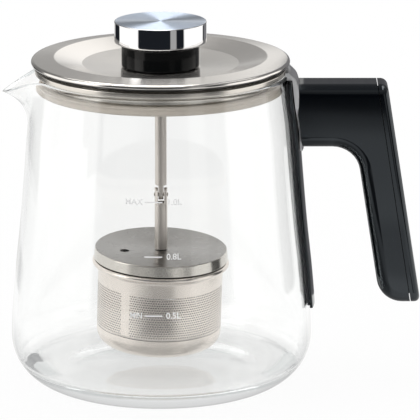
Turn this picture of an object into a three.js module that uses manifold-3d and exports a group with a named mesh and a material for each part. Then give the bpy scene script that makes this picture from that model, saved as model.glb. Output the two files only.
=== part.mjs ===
// Glass tea maker jug with a hinged infuser under its lid, in millimetres.
// +Z is up, +X points to the handle and -X to the spout. The origin is on the jug's axis, on the plane it stands on.
import * as THREE from "three";
import { mergeVertices } from "three/addons/utils/BufferGeometryUtils.js";
import Module from "manifold-3d";

const wasm = await Module();
wasm.setup();

// Clearances and overruns
const seat_gap = 0.3;
const slide_gap = 0.3;
const cut_overrun = 20;

// Glass jug
const glass_foot_radius = 43;
const glass_belly_radius = 64.5;
const glass_belly_height = 21;
const glass_neck_radius = 54.2;
const glass_rim_height = 135.3;
const glass_wall = 2;
const glass_floor_height = 8;
const glass_floor_fillet = 5;
const glass_rim_rounding = 0.7;
const glass_sides = 48;
const wall_curve_steps = 56;
const foot_corner_steps = 5;
const floor_corner_steps = 2;
const wall_row_step = 19;
const spout_row_step = 4.6;
// Height and radius of the wall between belly and rim, as shares of the rise and of the narrowing
const wall_shares = [
  [0, 0],
  [0.08, 0.03],
  [0.25, 0.185],
  [0.43, 0.4],
  [0.6, 0.565],
  [0.78, 0.73],
  [0.89, 0.89],
  [1, 1],
];

// Spout, drawn out of the rim
const spout_reach = 13.9;
const spout_drop = 8;
const spout_height = 23.3;
const spout_half_angle = 27;
const spout_tip_angle = 1.5;
const spout_peak_power = 2.3;
const spout_rise_power = 1.7;
const spout_fall_power = 2;

// Handle leg on the glass, with its soft pad
const leg_width = 24;
const leg_belly_rise = 13.5;
const leg_top_drop = 1.5;
const leg_thickness = 1.3;
const pad_thickness = 0.5;
const pad_inset = 1.2;
const pad_gap = 0.2;
const band_step = 20;

// Steel bracket behind the arm
const bracket_width = 21;
const bracket_thickness = 0.9;
const bracket_overhang = 3.4;
const bracket_lip_rise = 1.9;
const bracket_lip_thickness = 1.7;
const bracket_lip_hook = 0.4;
const bracket_shoulder_drop = 2.8;

// Handle casing
const handle_width = 21;
const arm_top_drop = 3.7;
const arm_depth = 27.2;
const grip_length = 95.6;
const grip_top_reach = 96.3;
const grip_depth = 17.3;
const grip_slope = 0.157;
const throat_rounding = 12;
const toe_rounding = 10;
const heel_rounding = 2.5;
const brow_rounding = 3;
const casing_wall = 2.2;
const casing_edge = 4.5;
const edge_steps = 3;
const corner_steps = 6;
const cover_depth = 4.4;
const cover_edge = 1.4;
const seam_gap = 0.3;
const clip_size = 3;
const clip_height = 6;
const clip_height_shares = [0.2, 0.8];
const core_thickness = 4;

// Bracket screws
const screw_radius = 1.5;
const screw_head_radius = 2.6;
const screw_head_height = 0.7;
const screw_bite = 9;
const screw_height_shares = [0.22, 0.78];
const screw_names = ["lower", "upper"];

// Lid plate
const lid_overhang = 0.8;
const lid_edge_rise = 5.1;
const lid_edge_radius = 1.25;
const lid_roll_start = -120;
const lid_roll_steps = 5;
const lid_sheet = 0.8;
const lid_brim_width = 9.7;
const lid_brim_rise = 2.2;
const lid_dish_slope_width = 12;
const lid_dish_depth = 2.9;
const lid_floor_radius = 17;
const lid_floor_drop = 1.5;
const lid_sides = 48;

// Lid plug
const plug_inset = 2.7;
const plug_neck_inset = 4.2;
const plug_wall = 0.8;
const plug_band_inset = 0.7;
const plug_band_height = 2.3;
const plug_depth = 7.7;

// Gasket
const gasket_lip_gap = 0.3;
const gasket_height = 3.8;
const gasket_groove = 0.9;

// Rod, its bush and the bush nut
const rod_radius = 2.5;
const bush_wall = 1.6;
const bush_flange_radius = 7;
const bush_flange_height = 1.2;
const nut_radius = 8;
const nut_height = 3;

// Knob
const knob_neck_radius = 16.5;
const knob_cap_radius = 19.6;
const knob_cap_height = 9;
const knob_neck_height = 10.2;
const knob_cap_wall = 1.6;
const knob_cap_top = 2;
const knob_cap_chamfer = 0.6;
const knob_spigot_height = 2.2;
const knob_pad_radius = 14.5;
const knob_pad_height = 0.8;
const knob_pad_recess = 0.7;
const knob_insert_radius = 5.5;
const knob_insert_height = 8;
const knob_screw_radius = 1.2;
const knob_screw_head_radius = 4;
const knob_screw_head_height = 1.8;
const knob_screw_length = 10;

// Hinge between the upper rod and the hanger
const hinge_height_share = 0.6061;
const hanger_length = 23.2;
const tongue_thickness = 2.1;
const tongue_radius = 2.3;
const tongue_shoulder = 4.3;
const fork_radius = 2.7;
const fork_slot_depth = 3.5;
const pin_radius = 0.8;
const pin_proud = 0.35;
const pin_gap = 0.2;

// Basket and its lid, a little askew on the hanger
const tilt_to_front_degrees = 3;
const tilt_to_right_degrees = 1.8;
const basket_lid_radius = 28.4;
const basket_lid_flare = 0.5;
const basket_lid_skirt = 5.6;
const basket_lid_dish = 1.1;
const basket_lid_edge = 1.2;
const basket_lid_sheet = 0.8;
const vent_radius = 2;
const vent_offset_x = -15.5;
const vent_offset_y = -5.8;
const ring_wall = 0.7;
const ring_depth = 9.5;
const hanger_stud_radius = 1.9;
const hanger_stud_length = 6;
const hanger_nut_radius = 4.2;
const hanger_nut_height = 2.6;
const basket_wall_radius = 26.8;
const basket_sheet = 0.7;
const basket_bead_radius = 0.75;
const basket_bead_reach = 2.4;
const basket_bead_steps = 4;
const basket_flare_height = 1.6;
const basket_floor_gap = 7.8;
const basket_corner_radius = 6.5;
const basket_corner_steps = 4;
const basket_seam_rise = 2.5;
const basket_lap = 1.5;
const basket_sides = 36;
const small_sides = 20;

// Materials
const clear_glass = new THREE.MeshStandardMaterial({
  color: 0xf4f8f8,
  roughness: 0.03,
  metalness: 0,
  transparent: true,
  opacity: 0.3,
});
const black_plastic = new THREE.MeshStandardMaterial({
  color: 0x1b1e23,
  roughness: 0.35,
  metalness: 0,
});
const pale_silicone = new THREE.MeshStandardMaterial({
  color: 0xc9c3b8,
  roughness: 0.6,
  metalness: 0,
});
const dark_silicone = new THREE.MeshStandardMaterial({
  color: 0x24262a,
  roughness: 0.7,
  metalness: 0,
});
const satin_steel = new THREE.MeshStandardMaterial({
  color: 0xb7b3ac,
  roughness: 0.34,
  metalness: 1,
});
const polished_steel = new THREE.MeshStandardMaterial({
  color: 0xc8c5c0,
  roughness: 0.15,
  metalness: 1,
});
const chrome = new THREE.MeshStandardMaterial({
  color: 0xe2e4e8,
  roughness: 0.05,
  metalness: 1,
});
const brass = new THREE.MeshStandardMaterial({
  color: 0xb08d4a,
  roughness: 0.35,
  metalness: 1,
});

// Solids: a closed geometry becomes a manifold, and a manifold becomes a named mesh
function solidOf(geometry) {
  const bare = geometry.clone();
  bare.deleteAttribute("normal");
  bare.deleteAttribute("uv");
  const merged = mergeVertices(bare, 1e-4);
  return new wasm.Manifold(
    new wasm.Mesh({
      numProp: 3,
      vertProperties: new Float32Array(merged.attributes.position.array),
      triVerts: new Uint32Array(merged.index.array),
    }),
  );
}

function meshOf(name, solid, material) {
  const made = solid.getMesh();
  const corners = new Float32Array(made.numVert * 3);
  for (let i = 0; i < made.numVert; i++) {
    const start = i * made.numProp;
    corners.set(made.vertProperties.subarray(start, start + 3), i * 3);
  }
  const geometry = new THREE.BufferGeometry();
  geometry.setAttribute("position", new THREE.BufferAttribute(corners, 3));
  geometry.setIndex(new THREE.BufferAttribute(made.triVerts, 1));
  geometry.computeVertexNormals();
  const mesh = new THREE.Mesh(geometry, material);
  mesh.name = name;
  return mesh;
}

// Turned piece about Z, from an outline of [radius, height] that runs up its outside
function turned(outline, sides) {
  const points = outline.map(([radius, height]) => new THREE.Vector2(radius, height));
  return new THREE.LatheGeometry(points, sides).rotateX(Math.PI / 2);
}

function ringOutline(outline) {
  return [...outline, outline[0]];
}

// Straight round bar or disc between two heights
function disc(radius, low, high, sides) {
  const outline = [
    [0, low],
    [radius, low],
    [radius, high],
    [0, high],
  ];
  return solidOf(turned(outline, sides));
}

function block(sizeX, sizeY, sizeZ, x, y, z) {
  return solidOf(new THREE.BoxGeometry(sizeX, sizeY, sizeZ).translate(x, y, z));
}

// Bar along X between two places
function crossBar(radius, low, high, height, sides) {
  const bar = new THREE.CylinderGeometry(radius, radius, high - low, sides);
  bar.rotateZ(Math.PI / 2);
  bar.translate((low + high) / 2, 0, height);
  return solidOf(bar);
}

function hexagon(radius, low, high) {
  return disc(radius, low, high, 6);
}

// Arc of [radius, height] points about a centre, angles in degrees from the +radius direction
function arc(centreRadius, centreHeight, radius, from, to, steps) {
  const points = [];
  for (let i = 0; i <= steps; i++) {
    const angle = THREE.MathUtils.degToRad(from + ((to - from) * i) / steps);
    points.push([
      centreRadius + radius * Math.cos(angle),
      centreHeight + radius * Math.sin(angle),
    ]);
  }
  return points;
}

// Outline in X and Z with rounded corners, extruded along Y about the middle plane
function roundedShape(corners) {
  const shape = new THREE.Shape();
  corners.forEach(([x, z, rounding], i) => {
    const corner = new THREE.Vector2(x, z);
    const before = new THREE.Vector2(...corners.at(i - 1)).sub(corner).normalize();
    const after = new THREE.Vector2(...corners[(i + 1) % corners.length]).sub(corner).normalize();
    const halfAngle = Math.acos(before.dot(after)) / 2;
    const run = rounding / Math.tan(halfAngle);
    const start = before.multiplyScalar(run).add(corner);
    const end = after.multiplyScalar(run).add(corner);
    if (i === 0) {
      shape.moveTo(start.x, start.y);
    } else {
      shape.lineTo(start.x, start.y);
    }
    if (rounding > 0) {
      shape.quadraticCurveTo(corner.x, corner.y, end.x, end.y);
    }
  });
  shape.closePath();
  return shape;
}

function slab(shape, width, edge = 0) {
  const slabGeometry = new THREE.ExtrudeGeometry(shape, {
    depth: width - 2 * edge,
    bevelEnabled: edge > 0,
    bevelThickness: edge,
    bevelSize: edge,
    bevelOffset: -edge,
    bevelSegments: edge_steps,
    curveSegments: corner_steps,
  });
  slabGeometry.rotateX(Math.PI / 2);
  slabGeometry.translate(0, width / 2 - edge, 0);
  return solidOf(slabGeometry);
}

// Heights that follow from the rim of the glass
const leg_top_height = glass_rim_height - leg_top_drop;
const leg_bottom_height = glass_belly_height + leg_belly_rise;
const arm_top_height = glass_rim_height - arm_top_drop;
const arm_bottom_height = arm_top_height - arm_depth;
const grip_bottom_height = arm_top_height - grip_length;
const bracket_bottom_height = arm_bottom_height - bracket_overhang;
const bracket_lip_height = glass_rim_height + bracket_lip_rise;
const lid_edge_height = glass_rim_height + lid_edge_rise;
const plug_bottom_height = glass_rim_height - plug_depth;
const hinge_height = glass_rim_height * hinge_height_share;
const basket_lid_height = hinge_height - hanger_length;

// Radii of the lid that follow from the neck of the glass
const lid_radius = glass_neck_radius + lid_overhang;
const lid_brim_radius = lid_radius - lid_brim_width;
const lid_dish_radius = lid_brim_radius - lid_dish_slope_width;
const plug_radius = glass_neck_radius - glass_wall - plug_inset;
const plug_neck_radius = glass_neck_radius - plug_neck_inset;
const plug_band_radius = glass_neck_radius - plug_band_inset;

// Radius of the glass outside at a height, from a curve through the wall stations
const wall_rise = glass_rim_height - glass_belly_height;
const wall_narrowing = glass_belly_radius - glass_neck_radius;
const wall_curve = new THREE.SplineCurve(
  wall_shares.map(
    ([rise, narrowing]) =>
      new THREE.Vector2(
        glass_belly_radius - narrowing * wall_narrowing,
        glass_belly_height + rise * wall_rise,
      ),
  ),
);
const wall_points = wall_curve.getPoints(wall_curve_steps);

function glassRadius(height) {
  if (height < glass_belly_height) {
    const share = 1 - height / glass_belly_height;
    const bulge = glass_belly_radius - glass_foot_radius;
    return glass_foot_radius + bulge * Math.sqrt(1 - share * share);
  }
  const above = wall_points.findIndex((point) => point.y > height);
  if (above < 1) {
    return glass_neck_radius;
  }
  const low = wall_points[above - 1];
  const high = wall_points[above];
  const share = (height - low.y) / (high.y - low.y);
  return THREE.MathUtils.lerp(low.x, high.x, share);
}

function heightsBetween(low, high, step) {
  const steps = Math.max(1, Math.ceil((high - low) / step));
  const heights = [];
  for (let i = 0; i <= steps; i++) {
    heights.push(low + ((high - low) * i) / steps);
  }
  return heights;
}

// Glass jug: bowl corner, wall, rounded rim, inner wall, heavy floor
function glassJug() {
  const rim_low = glass_rim_height - glass_rim_rounding;
  const inner_foot = glassRadius(glass_floor_height + glass_floor_fillet) - glass_wall - glass_floor_fillet;
  const foot_corner = [];
  for (let i = 0; i <= foot_corner_steps; i++) {
    const angle = (Math.PI / 2) * (i / foot_corner_steps);
    foot_corner.push([
      glass_foot_radius + (glass_belly_radius - glass_foot_radius) * Math.sin(angle),
      glass_belly_height * (1 - Math.cos(angle)),
    ]);
  }
  const spout_foot = glass_rim_height - spout_height;
  const spout_rows = heightsBetween(spout_foot, rim_low, spout_row_step);
  const outside = heightsBetween(glass_belly_height, spout_foot, wall_row_step)
    .slice(1, -1)
    .concat(spout_rows)
    .map((height) => [glassRadius(height), height]);
  const rim = [
    [glass_neck_radius - glass_rim_rounding, glass_rim_height],
    [glass_neck_radius - glass_wall + glass_rim_rounding, glass_rim_height],
  ];
  const fillet_top = glass_floor_height + glass_floor_fillet;
  const inside = heightsBetween(fillet_top, spout_foot, wall_row_step)
    .slice(0, -1)
    .concat(spout_rows)
    .reverse()
    .map((height) => [glassRadius(height) - glass_wall, height]);
  const floor_corner = arc(inner_foot, fillet_top, glass_floor_fillet, 0, -90, floor_corner_steps).slice(1);
  const outline = [
    [0, 0],
    ...foot_corner,
    ...outside,
    ...rim,
    ...inside,
    ...floor_corner,
    [0, glass_floor_height],
  ];
  const geometry = turned(outline, glass_sides);
  drawSpout(geometry);
  return solidOf(geometry);
}

// The spout pushes the wall out and down, most at the rim and along the -X side
function drawSpout(geometry) {
  const places = geometry.attributes.position;
  const foot = glass_rim_height - spout_height;
  for (let i = 0; i < places.count; i++) {
    const x = places.getX(i);
    const y = places.getY(i);
    const z = places.getZ(i);
    const radius = Math.hypot(x, y);
    if (z > foot && radius > 0) {
      const turn = THREE.MathUtils.radToDeg(Math.abs(Math.atan2(y, -x)));
      const blunt = Math.hypot(turn, spout_tip_angle) - spout_tip_angle;
      const near = Math.max(0, 1 - blunt / spout_half_angle);
      const peak = near ** spout_peak_power;
      const up = (z - foot) / spout_height;
      const grown = (radius + spout_reach * peak * up ** spout_rise_power) / radius;
      places.setXYZ(i, x * grown, y * grown, z - spout_drop * peak * up ** spout_fall_power);
    }
  }
}

// Band that follows the glass between two heights and two offsets from it
function glassBand(low, high, innerOffset, outerOffset, width) {
  const heights = heightsBetween(low, high, band_step);
  const outer = heights.map((height) => [glassRadius(height) + outerOffset, height]);
  const inner = heights.map((height) => [glassRadius(height) + innerOffset, height]).reverse();
  const ring = solidOf(turned(ringOutline([...outer, ...inner]), glass_sides * 2));
  return ring.intersect(keepSide(width, high));
}

// Block that keeps the +X side of a ring, as wide as given
function keepSide(width, top) {
  const reach = glass_belly_radius + cut_overrun;
  const tall = top + cut_overrun;
  return block(reach, width, 2 * tall, reach / 2, 0, 0);
}

// Everything inside this radius belongs to the glass, pad, leg and bracket
const pad_inner = seat_gap;
const pad_outer = pad_inner + pad_thickness;
const leg_inner = pad_outer + pad_gap;
const leg_outer = leg_inner + leg_thickness;
const bracket_inner = leg_outer + seat_gap;
const bracket_outer = bracket_inner + bracket_thickness;
const root_offset = bracket_outer + seat_gap;

const screw_heights = screw_height_shares.map((share) =>
  THREE.MathUtils.lerp(arm_bottom_height, arm_top_height, share),
);

function screwHoles(radius) {
  const near = crossBar(radius, 0, grip_top_reach, screw_heights[0], small_sides);
  const far = crossBar(radius, 0, grip_top_reach, screw_heights[1], small_sides);
  return near.add(far);
}

function handleBracket() {
  const heights = heightsBetween(bracket_bottom_height, arm_top_height, band_step);
  const lip_bottom = glass_rim_height + seat_gap;
  const lip_shoulder = bracket_lip_height - bracket_shoulder_drop;
  const under_lip = glass_neck_radius + seat_gap;
  const lip_tip = glass_neck_radius - bracket_lip_hook;
  const outer = heights.map((height) => [glassRadius(height) + bracket_outer, height]);
  const inner = heights.map((height) => [glassRadius(height) + bracket_inner, height]).reverse();
  const leg_cover = leg_top_height + seat_gap;
  const outline = [
    ...outer,
    [glass_neck_radius + bracket_outer - bracket_thickness / 2, lip_shoulder],
    [glass_neck_radius + bracket_lip_thickness / 2, bracket_lip_height],
    [lip_tip, bracket_lip_height],
    [lip_tip, lip_bottom],
    [under_lip, lip_bottom],
    [under_lip, leg_cover],
    [glass_neck_radius + bracket_inner, leg_cover],
    ...inner,
  ];
  const ring = solidOf(turned(ringOutline(outline), glass_sides * 2));
  const plate = ring.intersect(keepSide(bracket_width, bracket_lip_height));
  return plate.subtract(screwHoles(screw_radius + slide_gap));
}

// Handle outline, drawn in by an inset; the outer and inner lines of the grip lean outwards towards the bottom
function gripReach(height) {
  return grip_top_reach + (arm_top_height - height) * grip_slope;
}

function handleCorners(root, inset) {
  const top = arm_top_height - inset;
  const under = arm_bottom_height + inset;
  const bottom = grip_bottom_height + inset;
  const outer = (height) => gripReach(height) - inset;
  const inner = (height) => gripReach(height) - grip_depth + inset;
  return [
    [root, under, 0],
    [inner(under), under, throat_rounding + inset],
    [inner(bottom), bottom, Math.max(0, toe_rounding - inset)],
    [outer(bottom), bottom, Math.max(0, heel_rounding - inset)],
    [outer(top), top, Math.max(0, brow_rounding - inset)],
    [root, top, 0],
  ];
}

function behindSeam(offset) {
  const low = grip_bottom_height - cut_overrun;
  const high = arm_top_height + cut_overrun;
  const seam = (height) => gripReach(height) - cover_depth + offset;
  const corners = [
    [seam(low), low, 0],
    [seam(low) + cut_overrun, low, 0],
    [seam(high) + cut_overrun, high, 0],
    [seam(high), high, 0],
  ];
  return slab(roundedShape(corners), handle_width + cut_overrun);
}

// Solid of revolution that holds the glass and what lies on it, up past the arm
function rootCutter() {
  const low = arm_bottom_height - cut_overrun;
  const high = arm_top_height + cut_overrun;
  const side = heightsBetween(low, arm_top_height, band_step);
  const outline = [
    [0, low],
    ...side.map((height) => [glassRadius(height) + root_offset, height]),
    [glass_neck_radius + root_offset, high],
    [0, high],
  ];
  return solidOf(turned(outline, glass_sides * 2));
}

function casingCavity() {
  const root = glassRadius(arm_bottom_height) + root_offset + casing_wall;
  return slab(roundedShape(handleCorners(root, casing_wall)), handle_width - 2 * casing_wall);
}

// Casing with well rounded edges, carried on past its back so that the seam can cut it
function casingBody() {
  const corners = handleCorners(glass_foot_radius, 0);
  corners[3] = [corners[3][0] + 2 * casing_edge, corners[3][1], 0];
  corners[4] = [corners[4][0] + 2 * casing_edge, corners[4][1], 0];
  return slab(roundedShape(corners), handle_width, casing_edge);
}

function handleShell() {
  return casingBody()
    .subtract(rootCutter())
    .subtract(behindSeam(0))
    .subtract(casingCavity())
    .subtract(screwHoles(screw_radius + slide_gap));
}

// Clip tabs of the cover, which reach into the casing beside its core
function coverClips() {
  const tabs = clip_height_shares.map((share) => {
    const height = THREE.MathUtils.lerp(grip_bottom_height + toe_rounding, arm_bottom_height, share);
    const seam = gripReach(height) - cover_depth;
    const side = handle_width / 2 - casing_wall - seat_gap - clip_size / 2;
    return block(clip_size * 2 + cover_depth, clip_size, clip_height, seam, side, height);
  });
  return tabs[0].add(tabs[1]);
}

function handleCover() {
  const back = slab(roundedShape(handleCorners(glass_foot_radius, 0)), handle_width, cover_edge);
  const tray = casingBody().intersect(back).intersect(behindSeam(seam_gap)).subtract(casingCavity());
  const inside = slab(roundedShape(handleCorners(glass_foot_radius, casing_wall / 2)), handle_width);
  return tray.add(coverClips().intersect(inside));
}

function handleCore() {
  const inset = casing_wall + seat_gap;
  const root = glassRadius(arm_bottom_height) + root_offset + inset;
  const plate = slab(roundedShape(handleCorners(root, inset)), core_thickness);
  return plate.subtract(screwHoles(screw_radius + slide_gap));
}

// Screw from the glass side: flat head in the leg, shank through bracket and casing into the core
function bracketScrew(height) {
  const head_start = glassRadius(height - screw_head_radius) + leg_inner;
  const shank_end = glassRadius(height) + root_offset + casing_wall + screw_bite;
  const head = crossBar(screw_head_radius, head_start, head_start + screw_head_height, height, small_sides);
  return head.add(crossBar(screw_radius, head_start, shank_end, height, small_sides));
}

function handleLeg() {
  const strip = glassBand(leg_bottom_height, leg_top_height, leg_inner, leg_outer, leg_width);
  return strip.subtract(screwHoles(screw_head_radius + slide_gap));
}

function legPad() {
  return glassBand(
    leg_bottom_height + pad_inset,
    leg_top_height - pad_inset,
    pad_inner,
    pad_outer,
    leg_width - 2 * pad_inset,
  );
}

// Lid heights, from the rolled edge inwards
const lid_edge_top = lid_edge_height + lid_edge_radius;
const lid_brim_top = lid_edge_height + lid_brim_rise;
const lid_dish_top = lid_brim_top - lid_dish_depth;
const lid_floor_top = lid_dish_top - lid_floor_drop;
const bush_radius = rod_radius + slide_gap + bush_wall;
const lid_hole_radius = bush_radius + seat_gap;

function lidPlate() {
  const bead_centre = lid_radius - lid_edge_radius;
  const bead = arc(bead_centre, lid_edge_height, lid_edge_radius, lid_roll_start, 90, lid_roll_steps);
  const outline = [
    ...bead,
    [lid_brim_radius, lid_brim_top],
    [lid_dish_radius, lid_dish_top],
    [lid_floor_radius, lid_floor_top],
    [lid_hole_radius, lid_floor_top],
    [lid_hole_radius, lid_floor_top - lid_sheet],
    [lid_floor_radius, lid_floor_top - lid_sheet],
    [lid_dish_radius, lid_dish_top - lid_sheet],
    [lid_brim_radius, lid_brim_top - lid_sheet],
    [bead_centre - lid_edge_radius / 2, lid_edge_top - lid_sheet],
  ];
  return solidOf(turned(ringOutline(outline), lid_sides));
}

// Height of the lid plate's underside at the plug's neck
const brim_span = lid_radius - lid_edge_radius - lid_brim_radius;
const brim_share = (plug_neck_radius - lid_brim_radius) / brim_span;
const plate_underside =
  THREE.MathUtils.lerp(lid_brim_top, lid_edge_top, brim_share) - lid_sheet;

function lidPlug() {
  const band_low = glass_rim_height + seat_gap;
  const band_high = band_low + plug_band_height;
  const floor_top = plug_bottom_height + plug_wall;
  const outline = [
    [lid_hole_radius, plug_bottom_height],
    [plug_radius, plug_bottom_height],
    [plug_radius, band_low],
    [plug_band_radius, band_low],
    [plug_band_radius, band_high],
    [plug_neck_radius, band_high],
    [plug_neck_radius, plate_underside - seat_gap],
    [plug_neck_radius - plug_wall, plate_underside - seat_gap],
    [plug_radius - plug_wall, band_low],
    [plug_radius - plug_wall, floor_top],
    [lid_hole_radius, floor_top],
  ];
  return solidOf(turned(ringOutline(outline), lid_sides));
}

function lidGasket() {
  const low = plug_bottom_height + plug_wall / 2;
  const high = low + gasket_height;
  const inner = plug_radius + seat_gap;
  const lip = glass_neck_radius - glass_wall - gasket_lip_gap;
  const groove = lip - gasket_groove;
  const outline = [
    [inner, low],
    [lip, low],
    [lip, THREE.MathUtils.lerp(low, high, 0.25)],
    [groove, THREE.MathUtils.lerp(low, high, 0.4)],
    [groove, THREE.MathUtils.lerp(low, high, 0.6)],
    [lip, THREE.MathUtils.lerp(low, high, 0.75)],
    [lip, high],
    [inner, high],
  ];
  return solidOf(turned(ringOutline(outline), lid_sides));
}

function rodBush() {
  const bore = rod_radius + slide_gap;
  const flange_top = plug_bottom_height - seat_gap;
  const outline = [
    [bore, flange_top - bush_flange_height],
    [bush_flange_radius, flange_top - bush_flange_height],
    [bush_flange_radius, flange_top],
    [bush_radius, flange_top],
    [bush_radius, lid_floor_top - lid_sheet / 2],
    [bore, lid_floor_top - lid_sheet / 2],
  ];
  return solidOf(turned(ringOutline(outline), small_sides));
}

function bushNut() {
  const low = plug_bottom_height + plug_wall + seat_gap;
  const body = hexagon(nut_radius, low, low + nut_height);
  return body.subtract(disc(lid_hole_radius, low - cut_overrun, low + cut_overrun, small_sides));
}

// Knob heights, from the dish floor up
const neck_bottom = lid_floor_top + seat_gap;
const neck_top = neck_bottom + knob_neck_height;
const cap_top = neck_top + knob_cap_height;
const spigot_top = neck_top + knob_spigot_height;
const insert_top = spigot_top - seat_gap;
const insert_bottom = insert_top - knob_insert_height;
const rod_top = insert_top - seat_gap;

function knobNeck() {
  const spigot_radius = knob_cap_radius - knob_cap_wall - seat_gap;
  const recess_top = neck_bottom + knob_pad_recess;
  const hole = knob_insert_radius + seat_gap;
  const outline = [
    [hole, recess_top],
    [knob_pad_radius + seat_gap, recess_top],
    [knob_pad_radius + seat_gap, neck_bottom],
    [knob_neck_radius, neck_bottom],
    [knob_neck_radius, neck_top - knob_cap_chamfer],
    [spigot_radius, neck_top + seat_gap],
    [spigot_radius, spigot_top],
    [hole, spigot_top],
  ];
  return solidOf(turned(ringOutline(outline), basket_sides));
}

function knobPad() {
  const low = lid_floor_top + seat_gap / 2;
  const hole = rod_radius + seat_gap;
  const outline = [
    [hole, low],
    [knob_pad_radius, low],
    [knob_pad_radius, neck_bottom + knob_pad_recess - seat_gap / 2],
    [hole, neck_bottom + knob_pad_recess - seat_gap / 2],
  ];
  return solidOf(turned(ringOutline(outline), small_sides));
}

function knobCap() {
  const inner_radius = knob_cap_radius - knob_cap_wall;
  const outline = [
    [inner_radius, neck_top],
    [knob_cap_radius - knob_cap_chamfer, neck_top],
    [knob_cap_radius, neck_top + knob_cap_chamfer],
    [knob_cap_radius, cap_top - knob_cap_chamfer / 2],
    [knob_cap_radius - knob_cap_chamfer / 2, cap_top],
    [0, cap_top],
    [0, cap_top - knob_cap_top],
    [inner_radius, cap_top - knob_cap_top],
  ];
  return solidOf(turned(ringOutline(outline), lid_sides));
}

function knobInsert() {
  const body = disc(knob_insert_radius, insert_bottom, insert_top, small_sides);
  return body.subtract(disc(rod_radius + seat_gap, insert_bottom - cut_overrun, cap_top, small_sides));
}

function knobScrew() {
  const head_low = spigot_top + seat_gap;
  const head = disc(knob_screw_head_radius, head_low, head_low + knob_screw_head_height, small_sides);
  const shank_low = rod_top - knob_screw_length;
  return head.add(disc(knob_screw_radius, shank_low, head_low + knob_screw_head_height / 2, small_sides));
}

// Upper rod: round bar, tapped at the top, with a flat tongue at the bottom that takes the pin
const shoulder_height = hinge_height + tongue_shoulder;

function liftRod() {
  const bar = disc(rod_radius, shoulder_height, rod_top, small_sides);
  const tap_depth = knob_screw_length + seat_gap;
  const tap = disc(knob_screw_radius + slide_gap, rod_top - tap_depth, rod_top + cut_overrun, small_sides);
  const half = tongue_thickness / 2;
  const tongue_end = crossBar(tongue_radius, -half, half, hinge_height, small_sides);
  const tongue_stem = block(
    tongue_thickness,
    2 * tongue_radius,
    tongue_shoulder + rod_radius,
    0,
    0,
    hinge_height + (tongue_shoulder + rod_radius) / 2,
  );
  const stem = tongue_stem.intersect(disc(rod_radius, hinge_height - cut_overrun, rod_top, small_sides));
  const hole = crossBar(pin_radius + pin_gap, -fork_radius, fork_radius, hinge_height, small_sides);
  return bar.subtract(tap).add(stem).add(tongue_end).subtract(hole);
}

const basket_tilt = new THREE.Euler(
  THREE.MathUtils.degToRad(tilt_to_front_degrees),
  THREE.MathUtils.degToRad(tilt_to_right_degrees),
  0,
);

// Hanger: lower rod, forked at the top, with a threaded stud at the bottom
function hangerFork() {
  const lid_centre_top = basket_lid_height - basket_lid_dish;
  const bar_low = lid_centre_top + seat_gap;
  const bar = disc(fork_radius, bar_low, hinge_height, small_sides);
  const ear = crossBar(fork_radius, -fork_radius, fork_radius, hinge_height, small_sides);
  const round = disc(fork_radius, bar_low, shoulder_height, small_sides);
  const slot_low = hinge_height - fork_slot_depth;
  const slot = block(
    tongue_thickness + 2 * slide_gap,
    2 * fork_radius + cut_overrun,
    cut_overrun,
    0,
    0,
    slot_low + cut_overrun / 2,
  );
  const hole = crossBar(pin_radius + pin_gap, -cut_overrun, cut_overrun, hinge_height, small_sides);
  return bar.add(ear.intersect(round)).subtract(slot).subtract(hole).add(hangerStud());
}

// The stud leans with the basket lid
function hangerStud() {
  const outline = [
    [0, -basket_lid_dish - hanger_stud_length],
    [hanger_stud_radius, -basket_lid_dish - hanger_stud_length],
    [hanger_stud_radius, fork_radius],
    [0, fork_radius],
  ];
  const stud = turned(outline, small_sides);
  stud.applyMatrix4(new THREE.Matrix4().makeRotationFromEuler(basket_tilt));
  return solidOf(stud.translate(0, 0, basket_lid_height));
}

function hingePin() {
  const reach = fork_radius + pin_proud;
  return crossBar(pin_radius, -reach, reach, hinge_height, small_sides);
}

// Basket pieces are drawn level, with heights counted from the middle of the lid's top edge, then tilted as a group
const skirt_bottom = -basket_lid_skirt;
const bead_top = skirt_bottom - seat_gap / 2;
const bead_centre_height = bead_top - basket_bead_radius;
const basket_bottom = glass_floor_height + basket_floor_gap - basket_lid_height;
const seam_height = basket_bottom + basket_corner_radius + basket_seam_rise;
const stud_hole_radius = hanger_stud_radius + seat_gap;

function basketLid() {
  const flare_radius = basket_lid_radius + basket_lid_flare;
  const outline = [
    [flare_radius - basket_lid_sheet, skirt_bottom],
    [flare_radius, skirt_bottom],
    [basket_lid_radius, -basket_lid_edge],
    [basket_lid_radius - basket_lid_edge / 3, -basket_lid_edge / 3],
    [basket_lid_radius - basket_lid_edge, 0],
    [stud_hole_radius, -basket_lid_dish],
    [stud_hole_radius, -basket_lid_dish - basket_lid_sheet],
    [basket_lid_radius - basket_lid_edge, -basket_lid_sheet],
    [basket_lid_radius - basket_lid_sheet, -basket_lid_edge - basket_lid_sheet / 2],
  ];
  const plate = solidOf(turned(ringOutline(outline), basket_sides));
  const vent = disc(vent_radius, -cut_overrun, cut_overrun, small_sides);
  return plate.subtract(vent.translate([vent_offset_x, vent_offset_y, 0]));
}

// Ring under the basket lid that plugs into the basket; its inner flange hangs on the nut
const ring_radius = basket_wall_radius - basket_sheet - slide_gap;
const ring_top = -basket_lid_dish - basket_lid_sheet - seat_gap;

function lidRing() {
  const outline = [
    [ring_radius - ring_wall, -ring_depth],
    [ring_radius, -ring_depth],
    [ring_radius, ring_top],
    [stud_hole_radius, ring_top],
    [stud_hole_radius, ring_top - ring_wall],
    [ring_radius - ring_wall, ring_top - ring_wall],
  ];
  const cup = solidOf(turned(ringOutline(outline), basket_sides));
  const vent = disc(vent_radius + seat_gap, -cut_overrun, cut_overrun, small_sides);
  return cup.subtract(vent.translate([vent_offset_x, vent_offset_y, 0]));
}

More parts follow.
